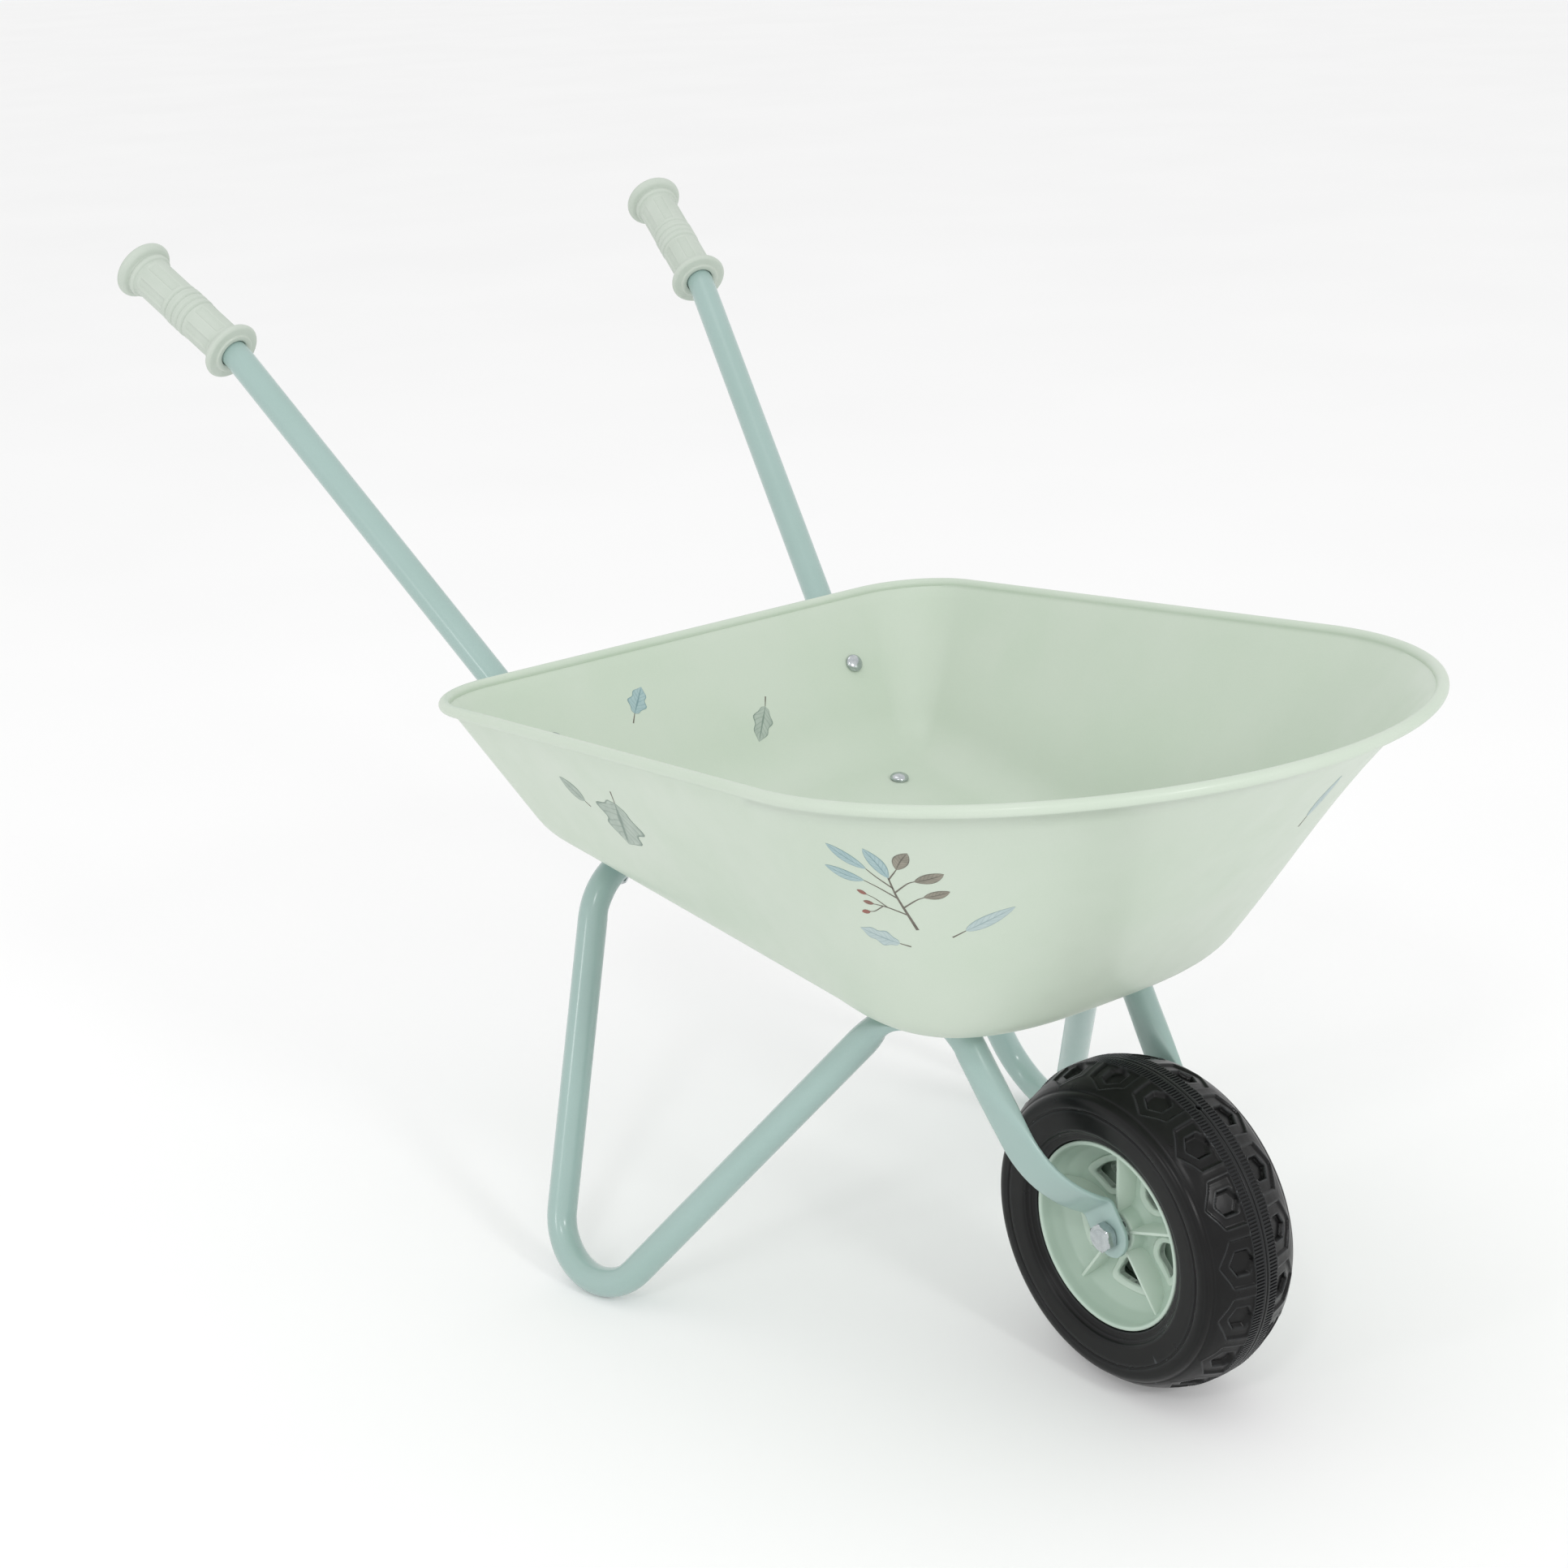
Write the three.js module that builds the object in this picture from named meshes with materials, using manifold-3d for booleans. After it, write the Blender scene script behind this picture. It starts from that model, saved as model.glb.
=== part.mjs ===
// A child-size steel wheelbarrow: a pressed tray bolted to two bent tube rails, a bent tube leg
// frame, two moulded grips and a moulded wheel on a bolt axle.
//
// Frame: +X forward to the wheel, +Y left, +Z up, millimetres. The origin is on the ground, at the
// centre of the box around the whole object. Inside this file every point is measured from the spot
// on the ground under the axle, and the last group moves the assembly back to the origin.

import * as THREE from 'three';
import { mergeVertices } from 'three/addons/utils/BufferGeometryUtils.js';
import Module from 'manifold-3d';

const wasm = await Module();
wasm.setup();

// ---------------------------------------------------------------- driving dimensions

const AXLE_X = 259.8;               // from the origin forward to the axle
const GAP = 0.3;                    // left between pieces that touch

const TUBE_RADIUS = 8;              // 16 mm steel tube
const TUBE_SIDES = 12;
const ARC_STEP = 15;                // degrees of bend per tube ring
const FLAT_HALF_WIDTH = 11.7;       // a tube end pressed flat
const FLAT_HALF_THICKNESS = 1.6;

const WHEEL = { radius: 82, halfWidth: 29.8, boreRadius: 47.9, hubRadius: 47.6, hubHalfWidth: 25.3 };
const LUG_CENTRE_Y = 21.7;          // middle of the pressed lug that carries the axle

const SHEET = 1.2;                  // tray wall thickness
const BEAD_RADIUS = 3;              // rolled rim
const RIM = {
  height: 336.3, slope: 0.0922,     // bead centre: z = height + slope * x
  rearX: -365.7, rearHalfWidth: 172.2, cornerRadius: 45,
  sideEndX: -48.8, sideHalfWidth: 180.5, noseX: 116.2, noseExponent: 1.95,
};
const FLOOR = {
  height: 179.6, slope: -0.1403,    // outer face of the floor: z = height + slope * x
  rearX: -315, rearHalfWidth: 125.9, cornerRadius: 13.7,
  sideEndX: -96.6, sideHalfWidth: 108, noseX: -23.6, noseExponent: 3.1,
  filletReach: 23.7,                // how far the bend into the wall reaches each way
};
const WALL_INSET = { rear: 3, side: 2.7, nose: 7.6, noseBow: 3.8 };

const HANDLE = { start: [-559.3, 463.5], slope: -0.945 };   // straight run of the rail, seen from the side
const RAIL_PLAN = { x: -277.9, y: 82, slope: -0.282 };       // the same run, seen from above
const GRIP_FLANGE = new THREE.Vector3(-628.1, 177.6, 503.5); // centre of a grip's outer flange
const RAIL_OFFSET = TUBE_RADIUS + 0.4;                       // rail centre line to the sheet it follows
const RAIL_PLAN_BEND_X = -258;
const FORK_KNEE = new THREE.Vector3(-69, 56.2, 180.8);
const FORK_STRAIGHT_Y = [56.2, 51.3];                        // half spread at the knee and at the inward arc
const FORK_ARC = { radius: 54.5, start: -59, angle: 60 };    // the inward sweep to the axle
const FORK_FLATTEN = [-98, -50];                             // where the round tube becomes a flat strip

const FOOT = new THREE.Vector3(-262.4, 185.2, -41.95);        // where the two leg lines would meet
const REAR_LEG_DIR = new THREE.Vector3(-48.6, -80.3, 224.9).normalize();
const FRONT_LEG_DIR = new THREE.Vector3(146.4, -109.8, 205.1).normalize();
const LEG = { footRadius: 34.3, topRadius: 40, crossbarZ: 204.4, frontRadius: 20 };
const LEG_FLATTEN = [-12, 7];       // run past the front bend between the round tube and the flat lug

const WALL_BOLT_RUN = 53;           // from the tray's lower rear edge up the wall
const REAR_BOLT_X = -277.9;
const FRONT_BOLT_X = -94;
const BOLT = {
  radius: 2.5, headRadius: 5.2, headHeight: 3.1, nutFlats: 8, nutHeight: 3.2, washer: 0.8, past: 1,
};
const LEG_SCREW = { flats: 8, headHeight: 1.8, length: 24 };   // low head, holds the crossbar to a rail
const AXLE = { radius: 4, headFlats: 13, headHeight: 5.3, nutHeight: 6.5, sleeveRadius: 6 };

// ---------------------------------------------------------------- materials

function finish(colour, roughness, metalness) {
  return new THREE.MeshStandardMaterial({ color: colour, roughness, metalness });
}
const PAINT_TRAY = () => finish(0xc9dccb, 0.45, 0.0);
const PAINT_TUBE = () => finish(0x9fc0b8, 0.42, 0.0);
const GRIP_PLASTIC = () => finish(0xbccdbf, 0.55, 0.0);
const HUB_PLASTIC = () => finish(0x9fbaa6, 0.45, 0.0);
const TYRE_PLASTIC = () => finish(0x1b1b1c, 0.5, 0.0);
const ZINC = () => finish(0xc8ccd0, 0.3, 1.0);

// ---------------------------------------------------------------- solids and booleans

function solidOf(geometry) {
  const bare = geometry.clone();
  for (const name of Object.keys(bare.attributes)) {
    if (name !== 'position') bare.deleteAttribute(name);
  }
  const merged = mergeVertices(bare, 1e-4);
  const index = Array.from(merged.index.array);
  const kept = [];
  for (let i = 0; i < index.length; i += 3) {
    const [a, b, c] = index.slice(i, i + 3);
    if (a !== b && b !== c && c !== a) kept.push(a, b, c);
  }
  const mesh = new wasm.Mesh({
    numProp: 3,
    vertProperties: new Float32Array(merged.attributes.position.array),
    triVerts: new Uint32Array(kept),
  });
  return new wasm.Manifold(mesh);
}

function geometryOf(solid) {
  const mesh = solid.getMesh();
  const geometry = new THREE.BufferGeometry();
  geometry.setAttribute('position', new THREE.BufferAttribute(new Float32Array(mesh.vertProperties), 3));
  geometry.setIndex(new THREE.BufferAttribute(new Uint32Array(mesh.triVerts), 1));
  return geometry;
}

function cut(geometry, cutters) {
  let solid = solidOf(geometry);
  for (const cutter of cutters) solid = solid.subtract(solidOf(cutter));
  return geometryOf(solid);
}

function join(geometry, additions) {
  let solid = solidOf(geometry);
  for (const addition of additions) solid = solid.add(solidOf(addition));
  return geometryOf(solid);
}

// A rod of the given radius centred on a point, along an axis.
function rodThrough(point, axis, radius, length, sides = 12) {
  const rod = new THREE.CylinderGeometry(radius, radius, length, sides);
  const turn = new THREE.Quaternion().setFromUnitVectors(new THREE.Vector3(0, 1, 0), axis);
  return rod.applyQuaternion(turn).translate(point.x, point.y, point.z);
}

function mirrored(vector) {
  return new THREE.Vector3(vector.x, -vector.y, vector.z);
}

// The same piece on the other side of the wheelbarrow, with its faces still pointing out.
function mirroredGeometry(geometry) {
  const copy = mergeVertices(geometry.clone(), 1e-4);
  const position = copy.attributes.position;
  for (let i = 0; i < position.count; i += 1) position.setY(i, -position.getY(i));
  const index = copy.index.array;
  for (let i = 0; i < index.length; i += 3) [index[i], index[i + 1]] = [index[i + 1], index[i]];
  return copy;
}

// ---------------------------------------------------------------- bent tube

// A centre line made of straight runs and round bends, with one ring of the tube at each station.
class BentLine extends THREE.Curve {
  constructor(stations) {
    super();
    this.stations = stations;
  }
  stationAt(u) {
    return this.stations[Math.round(u * (this.stations.length - 1))];
  }
  getPoint(u, target = new THREE.Vector3()) {
    return target.copy(this.stationAt(u).point);
  }
  getPointAt(u, target) {
    return this.getPoint(u, target);
  }
  getTangentAt(u, target = new THREE.Vector3()) {
    return target.copy(this.stationAt(u).tangent);
  }
}

// Rounds each inner corner of a broken line with its own bend radius.
function bendLine(corners, radii) {
  const stations = [];
  const first = corners[0];
  stations.push({ point: first.clone(), tangent: corners[1].clone().sub(first).normalize() });
  for (let i = 1; i < corners.length - 1; i += 1) {
    const into = corners[i].clone().sub(corners[i - 1]).normalize();
    const out = corners[i + 1].clone().sub(corners[i]).normalize();
    const turn = into.angleTo(out);
    const axis = new THREE.Vector3().crossVectors(into, out).normalize();
    const start = corners[i].clone().addScaledVector(into, -radii[i] * Math.tan(turn / 2));
    const inward = new THREE.Vector3().crossVectors(axis, into);
    const centre = start.clone().addScaledVector(inward, radii[i]);
    const steps = Math.max(1, Math.ceil(THREE.MathUtils.radToDeg(turn) / ARC_STEP));
    for (let k = 0; k <= steps; k += 1) {
      const angle = (turn * k) / steps;
      const spoke = start.clone().sub(centre).applyAxisAngle(axis, angle);
      stations.push({ point: centre.clone().add(spoke), tangent: into.clone().applyAxisAngle(axis, angle) });
    }
  }
  const last = corners[corners.length - 1];
  const before = corners[corners.length - 2];
  stations.push({ point: last.clone(), tangent: last.clone().sub(before).normalize() });
  return stations;
}

// Adds rings to a straight run, at the given distances before its end.
function addRings(stations, endIndex, distances) {
  const end = stations[endIndex];
  const extra = distances.map((distance) => ({
    point: end.point.clone().addScaledVector(end.tangent, -distance),
    tangent: end.tangent.clone(),
  }));
  stations.splice(endIndex, 0, ...extra);
}

function roundTube(stations) {
  const section = new THREE.Shape();
  for (let k = 0; k < TUBE_SIDES; k += 1) {
    const angle = (2 * Math.PI * k) / TUBE_SIDES;
    const x = TUBE_RADIUS * Math.cos(angle);
    const y = TUBE_RADIUS * Math.sin(angle);
    if (k === 0) section.moveTo(x, y);
    else section.lineTo(x, y);
  }
  section.closePath();
  const path = new BentLine(stations);
  return new THREE.ExtrudeGeometry(section, {
    steps: stations.length - 1, bevelEnabled: false, extrudePath: path,
  });
}

// Presses the rings of a tube flat. pressAt says, for a station, how flat it is (0 to 1), how much of
// its width is left (1, less at a rounded end) and the direction of the strip's width.
function pressFlat(geometry, stations, pressAt) {
  const position = geometry.attributes.position;
  const vertex = new THREE.Vector3();
  for (let i = 0; i < position.count; i += 1) {
    vertex.fromBufferAttribute(position, i);
    const station = stations.find((ring) => {
      const offset = vertex.clone().sub(ring.point);
      return Math.abs(offset.dot(ring.tangent)) < 1e-3 && offset.length() < TUBE_RADIUS + 0.01;
    });
    const press = pressAt(station);
    if (press.flat === 0) continue;
    const wide = press.wide.clone().addScaledVector(station.tangent, -press.wide.dot(station.tangent)).normalize();
    const thick = new THREE.Vector3().crossVectors(station.tangent, wide);
    const offset = vertex.clone().sub(station.point);
    const across = offset.dot(wide);
    const through = offset.dot(thick);
    const halfWidth = THREE.MathUtils.lerp(TUBE_RADIUS, FLAT_HALF_WIDTH, press.flat) * press.left;
    const halfThickness = THREE.MathUtils.lerp(TUBE_RADIUS, FLAT_HALF_THICKNESS, press.flat);
    const fullness = Math.min(1, (Math.abs(through) / TUBE_RADIUS) * (1 + 3 * press.flat));
    vertex.copy(station.point)
      .addScaledVector(wide, (across / TUBE_RADIUS) * halfWidth)
      .addScaledVector(thick, Math.sign(through) * halfThickness * fullness);
    position.setXYZ(i, vertex.x, vertex.y, vertex.z);
  }
  return geometry;
}

// Width left at a distance past the centre of a lug's round end.
function roundEnd(past) {
  if (past <= 0) return 1;
  return Math.sqrt(Math.max(0.01, 1 - (past / FLAT_HALF_WIDTH) ** 2));
}

const ROUND_END_RINGS = [FLAT_HALF_WIDTH, 8.2, 4.6, 2.2, 0.7];

// ---------------------------------------------------------------- reference planes of the tray

const floorNormal = new THREE.Vector3(-FLOOR.slope, 0, 1).normalize();
const rearEdge = new THREE.Vector3(FLOOR.rearX, 0, FLOOR.height + FLOOR.slope * FLOOR.rearX);
const rimFootX = RIM.rearX + WALL_INSET.rear;
const rimFoot = new THREE.Vector3(rimFootX, 0, RIM.height - BEAD_RADIUS + RIM.slope * rimFootX);
const wallUp = rimFoot.clone().sub(rearEdge).normalize();
const wallInward = new THREE.Vector3(wallUp.z, 0, -wallUp.x);

function floorPoint(x, y, below = 0) {
  const surface = new THREE.Vector3(x, y, FLOOR.height + FLOOR.slope * x);
  return surface.addScaledVector(floorNormal, -below);
}

function railPlanY(x) {
  return RAIL_PLAN.y + RAIL_PLAN.slope * (x - RAIL_PLAN.x);
}

// Where two lines in the side view cross, each given by a point and a direction.
function crossing(a, aDir, b, bDir) {
  const det = aDir.x * bDir.z - aDir.z * bDir.x;
  const t = ((b.x - a.x) * bDir.z - (b.z - a.z) * bDir.x) / det;
  return a.clone().addScaledVector(aDir, t);
}

// ---------------------------------------------------------------- rails

const forkDown = new THREE.Vector3(-FORK_KNEE.x, 0, WHEEL.radius - FORK_KNEE.z).normalize();
const forkWide = new THREE.Vector3(-forkDown.z, 0, forkDown.x);

// A point of the fork: run is measured along the fork from the axle, negative above it.
function forkPoint(run, y) {
  return new THREE.Vector3(0, y, WHEEL.radius).addScaledVector(forkDown, run);
}

function forkRun(point) {
  return point.clone().sub(new THREE.Vector3(0, 0, WHEEL.radius)).dot(forkDown);
}

const handleStart = new THREE.Vector3(HANDLE.start[0], railPlanY(HANDLE.start[0]), HANDLE.start[1]);
const handleDir = new THREE.Vector3(1, RAIL_PLAN.slope, HANDLE.slope).normalize();
const gripBend = handleStart.clone().addScaledVector(handleDir, 5);
const gripAxis = GRIP_FLANGE.clone().sub(gripBend).normalize();

function railCorners() {
  const sideHandle = new THREE.Vector3(1, 0, HANDLE.slope).normalize();
  const wallLine = rearEdge.clone().addScaledVector(wallInward, -RAIL_OFFSET);
  const floorLine = floorPoint(0, 0, RAIL_OFFSET);
  const floorForward = new THREE.Vector3(1, 0, FLOOR.slope).normalize();
  const handleSide = new THREE.Vector3(handleStart.x, 0, handleStart.z);
  const wallBend = crossing(handleSide, sideHandle, wallLine, wallUp);
  const underBend = crossing(wallLine, wallUp, floorLine, floorForward);
  wallBend.y = railPlanY(wallBend.x);
  underBend.y = railPlanY(underBend.x);
  const planBend = floorPoint(RAIL_PLAN_BEND_X, railPlanY(RAIL_PLAN_BEND_X), RAIL_OFFSET);
  const arcTangent = FORK_ARC.radius * Math.tan(THREE.MathUtils.degToRad(FORK_ARC.angle - 4.6) / 2);
  const slopeY = (FORK_STRAIGHT_Y[1] - FORK_STRAIGHT_Y[0]) / (FORK_ARC.start - forkRun(FORK_KNEE));
  const sweepRun = FORK_ARC.start + arcTangent;
  const sweepY = FORK_STRAIGHT_Y[1] + slopeY * arcTangent;
  const lugRun = sweepRun + (sweepY - LUG_CENTRE_Y) / Math.tan(THREE.MathUtils.degToRad(FORK_ARC.angle));
  return [
    gripBend.clone().addScaledVector(gripAxis, 76),
    gripBend,
    wallBend,
    underBend,
    planBend,
    FORK_KNEE,
    forkPoint(sweepRun, sweepY),
    forkPoint(lugRun, LUG_CENTRE_Y),
    forkPoint(FLAT_HALF_WIDTH, LUG_CENTRE_Y),
  ];
}

const RAIL_BEND_RADII = [0, 40, 45, 45, 110, 34, FORK_ARC.radius, 4.5, 0];

function railStations() {
  const stations = bendLine(railCorners(), RAIL_BEND_RADII);
  addRings(stations, stations.length - 1, ROUND_END_RINGS);
  const arcStart = stations.findIndex((ring) => ring.point.x > -60 && forkRun(ring.point) > FORK_ARC.start - 1);
  addRings(stations, arcStart, [26, 17, 8]);
  return stations;
}

function pressFork(station) {
  const run = forkRun(station.point);
  const onFork = station.point.x > FORK_KNEE.x + 5 && run > FORK_FLATTEN[0];
  if (!onFork) return { flat: 0 };
  const flat = THREE.MathUtils.smoothstep(run, FORK_FLATTEN[0], FORK_FLATTEN[1]);
  return { flat, wide: forkWide, left: roundEnd(run) };
}

const wallBoltPoint = rearEdge.clone().addScaledVector(wallUp, WALL_BOLT_RUN);
wallBoltPoint.y = railPlanY(wallBoltPoint.x - RAIL_OFFSET);
const rearBoltPoint = floorPoint(REAR_BOLT_X, railPlanY(REAR_BOLT_X));

function frontRailY(x) {
  const startY = railPlanY(RAIL_PLAN_BEND_X);
  return startY + ((FORK_KNEE.y - startY) * (x - RAIL_PLAN_BEND_X)) / (FORK_KNEE.x - RAIL_PLAN_BEND_X);
}
const frontBoltPoint = floorPoint(FRONT_BOLT_X, frontRailY(FRONT_BOLT_X));
const DRILL = BOLT.radius + GAP;

// ---------------------------------------------------------------- leg frame

const legFlatBelow = RAIL_OFFSET + TUBE_RADIUS + GAP + FLAT_HALF_THICKNESS;   // lug middle under the floor face

function legCorners() {
  const lugPlanePoint = floorPoint(0, 0, legFlatBelow);
  const depth = lugPlanePoint.clone().sub(FOOT).dot(floorNormal) / FRONT_LEG_DIR.dot(floorNormal);
  const frontKnee = FOOT.clone().addScaledVector(FRONT_LEG_DIR, depth);
  const bolt = floorPoint(FRONT_BOLT_X, frontRailY(FRONT_BOLT_X), legFlatBelow);
  const lugDir = bolt.clone().sub(frontKnee).normalize();
  const rise = (LEG.crossbarZ - FOOT.z) / REAR_LEG_DIR.z;
  const topCorner = FOOT.clone().addScaledVector(REAR_LEG_DIR, rise);
  return { end: bolt.clone().addScaledVector(lugDir, FLAT_HALF_WIDTH), bolt, lugDir, frontKnee, topCorner };
}

const leg = legCorners();

function legStations() {
  const half = [leg.end, leg.frontKnee, FOOT, leg.topCorner];
  const corners = half.concat(half.slice().reverse().map(mirrored));
  const { frontRadius, footRadius, topRadius } = LEG;
  const radii = [0, frontRadius, footRadius, topRadius, topRadius, footRadius, frontRadius, 0];
  const stations = bendLine(corners, radii);
  const bendStart = stations.findIndex((ring, i) => i > 0 && stations[i - 1].point.distanceTo(ring.point) > 100);
  const firstHalf = stations.slice(0, bendStart);
  const straightEnd = firstHalf[firstHalf.length - 1];
  const extra = [10, 20, 30].map((distance) => ({
    point: straightEnd.point.clone().addScaledVector(straightEnd.tangent, distance),
    tangent: straightEnd.tangent.clone(),
  }));
  const ends = ROUND_END_RINGS.slice().reverse().map((distance) => ({
    point: stations[0].point.clone().addScaledVector(stations[0].tangent, distance),
    tangent: stations[0].tangent.clone(),
  }));
  const middle = stations.slice(bendStart, stations.length - bendStart);
  const near = [firstHalf[0], ...ends, ...firstHalf.slice(1), ...extra];
  const far = near.slice().reverse().map((ring) => ({
    point: mirrored(ring.point),
    tangent: mirrored(ring.tangent).negate(),
  }));
  return [...near, ...middle, ...far];
}

function pressLegEnd(station) {
  const side = Math.sign(station.point.y) || 1;
  const knee = side > 0 ? leg.frontKnee : mirrored(leg.frontKnee);
  const lugDir = side > 0 ? leg.lugDir : mirrored(leg.lugDir);
  const run = station.point.clone().sub(knee).dot(lugDir);
  const nearKnee = station.point.distanceTo(knee) < 45 && station.point.x > -130;
  if (!nearKnee) return { flat: 0 };
  const flat = THREE.MathUtils.smoothstep(run, LEG_FLATTEN[0], LEG_FLATTEN[1]);
  const pastBolt = run - leg.bolt.distanceTo(leg.frontKnee);
  const wide = new THREE.Vector3().crossVectors(floorNormal, lugDir);
  return { flat, wide, left: roundEnd(pastBolt) };
}

// ---------------------------------------------------------------- tray

// Half of a tray outline seen from above: straight rear edge, round corner, straight side, blunt nose.
function halfOutline(spec, counts) {
  const corner = new THREE.Vector2(spec.rearX, spec.rearHalfWidth);
  const sideEnd = new THREE.Vector2(spec.sideEndX, spec.sideHalfWidth);
  const toRear = new THREE.Vector2(0, -1);
  const toSide = sideEnd.clone().sub(corner).normalize();
  const half = Math.acos(toRear.dot(toSide)) / 2;
  const reach = spec.cornerRadius / Math.tan(half);
  const centre = corner.clone().addScaledVector(toRear.clone().add(toSide).normalize(), spec.cornerRadius / Math.sin(half));
  const arcStart = corner.clone().addScaledVector(toRear, reach).sub(centre).angle();
  const sweep = -(Math.PI - 2 * half);
  const points = [];
  for (let k = 0; k < counts.rear; k += 1) {
    points.push(new THREE.Vector2(spec.rearX, ((corner.y - reach) * k) / counts.rear));
  }
  for (let k = 0; k <= counts.corner; k += 1) {
    const angle = arcStart + (sweep * k) / counts.corner;
    points.push(new THREE.Vector2(Math.cos(angle), Math.sin(angle)).multiplyScalar(spec.cornerRadius).add(centre));
  }
  const sideStart = points[points.length - 1];
  for (let k = 1; k < counts.side; k += 1) {
    points.push(sideStart.clone().lerp(sideEnd, k / counts.side));
  }
  for (let k = 0; k <= counts.nose; k += 1) {
    const angle = (Math.PI / 2) * (k / counts.nose);
    const forward = Math.sin(angle) ** (2 / spec.noseExponent);
    const aside = Math.cos(angle) ** (2 / spec.noseExponent);
    points.push(new THREE.Vector2(spec.sideEndX + (spec.noseX - spec.sideEndX) * forward, spec.sideHalfWidth * aside));
  }
  return points;
}

const OUTLINE_COUNTS = { rear: 2, corner: 5, side: 3, nose: 10 };

function closedOutline(spec) {
  const half = halfOutline(spec, OUTLINE_COUNTS);
  const other = half.slice(1, -1).reverse().map((p) => new THREE.Vector2(p.x, -p.y));
  return half.concat(other);
}

// The outer skin of the tray, as rings from the floor up to the foot of the rim.
function trayOuterRings() {
  const reach = FLOOR.filletReach;
  const foot = closedOutline(FLOOR);
  const flat = closedOutline({
    ...FLOOR,
    rearX: FLOOR.rearX + reach,
    rearHalfWidth: FLOOR.rearHalfWidth - 1.08 * reach,
    cornerRadius: 10,
    sideHalfWidth: FLOOR.sideHalfWidth - reach,
    noseX: FLOOR.noseX - reach,
  });
  const top = closedOutline({
    ...RIM,
    rearX: RIM.rearX + WALL_INSET.rear,
    rearHalfWidth: RIM.rearHalfWidth - WALL_INSET.side,
    cornerRadius: RIM.cornerRadius - WALL_INSET.rear / 2,
    sideHalfWidth: RIM.sideHalfWidth - WALL_INSET.side,
    noseX: RIM.noseX - WALL_INSET.nose,
  });
  const count = foot.length;
  const columns = [];
  for (let i = 0; i < count; i += 1) {
    const before = foot[(i + count - 1) % count];
    const after = foot[(i + 1) % count];
    const along = after.clone().sub(before).normalize();
    const inward = new THREE.Vector3(along.y, -along.x, 0);
    const edge = floorPoint(foot[i].x, foot[i].y);
    const rimFootPoint = new THREE.Vector3(top[i].x, top[i].y, RIM.height - BEAD_RADIUS + RIM.slope * top[i].x);
    const up = rimFootPoint.clone().sub(edge).normalize();
    const flatEnd = floorPoint(flat[i].x, flat[i].y);
    const wallStart = edge.clone().addScaledVector(up, reach);
    const fillet = new THREE.QuadraticBezierCurve3(flatEnd, edge, wallStart);
    const noseShare = THREE.MathUtils.smoothstep(foot[i].x, FLOOR.sideEndX - 40, FLOOR.noseX);
    const column = [0, 0.25, 0.5, 0.75, 1].map((t) => fillet.getPoint(t));
    for (const t of [0.4, 0.75, 1]) {
      const bow = WALL_INSET.noseBow * noseShare * 6.75 * t * t * (1 - t);
      column.push(wallStart.clone().lerp(rimFootPoint, t).addScaledVector(inward, bow));
    }
    columns.push(column);
  }
  return columns;
}

// The inner skin: each outer point moved in by the sheet's thickness along the surface normal.
function innerSkin(columns) {
  const count = columns.length;
  return columns.map((column, i) => column.map((point, j) => {
    const left = columns[(i + count - 1) % count][j];
    const right = columns[(i + 1) % count][j];
    const low = column[Math.max(0, j - 1)];
    const high = column[Math.min(column.length - 1, j + 1)];
    const around = right.clone().sub(left);
    const upward = high.clone().sub(low);
    const normal = j === 0 ? floorNormal : new THREE.Vector3().crossVectors(around, upward).normalize();
    return point.clone().addScaledVector(normal, SHEET);
  }));
}

function beadRing(outer, inner, centre) {
  const outward = outer.clone().sub(inner);
  outward.z = 0;
  outward.normalize();
  return [200, 130, 80, 30, -30, -80].map((degrees) => {
    const angle = THREE.MathUtils.degToRad(degrees);
    return centre.clone()
      .addScaledVector(outward, BEAD_RADIUS * Math.cos(angle))
      .add(new THREE.Vector3(0, 0, BEAD_RADIUS * Math.sin(angle)));
  });
}

function makeTray() {
  const outer = trayOuterRings();
  const inner = innerSkin(outer);
  const bead = closedOutline(RIM);
  const middle = floorPoint((FLOOR.rearX + FLOOR.noseX) / 2, 0);
  const columns = outer.map((column, i) => {
    const beadCentre = new THREE.Vector3(bead[i].x, bead[i].y, RIM.height + RIM.slope * bead[i].x);
    const rimTop = beadRing(column[column.length - 1], inner[i][inner[i].length - 1], beadCentre);
    return [
      middle.clone().addScaledVector(floorNormal, SHEET),
      ...inner[i],
      ...rimTop,
      ...column.slice().reverse(),
      middle,
    ];
  });
  const profileLength = columns[0].length;
  const profile = columns[0].map((_, j) => {
    const ends = j === 0 || j === profileLength - 1;
    return new THREE.Vector2(ends ? 0 : 1, j);
  });
  const shell = new THREE.LatheGeometry(profile, columns.length);
  const position = shell.attributes.position;
  for (let i = 0; i <= columns.length; i += 1) {
    columns[i % columns.length].forEach((point, j) => {
      position.setXYZ(i * profileLength + j, point.x, point.y, point.z);
    });
  }
  const cutters = [];
  for (const side of [1, -1]) {
    for (const [point, axis] of [[wallBoltPoint, wallInward], [rearBoltPoint, floorNormal], [frontBoltPoint, floorNormal]]) {
      const place = side > 0 ? point : mirrored(point);
      cutters.push(rodThrough(place, axis, DRILL, 12));
    }
  }
  return cut(shell, cutters);
}

// ---------------------------------------------------------------- rails, legs and grips as solids

// Points every half millimetre along a centre line.
function samplePoints(stations) {
  const samples = [];
  for (let i = 1; i < stations.length; i += 1) {
    const from = stations[i - 1].point;
    const to = stations[i].point;
    const steps = Math.max(1, Math.ceil(from.distanceTo(to) / 0.5));
    for (let k = 0; k < steps; k += 1) samples.push(from.clone().lerp(to, k / steps));
  }
  return samples;
}

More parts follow.
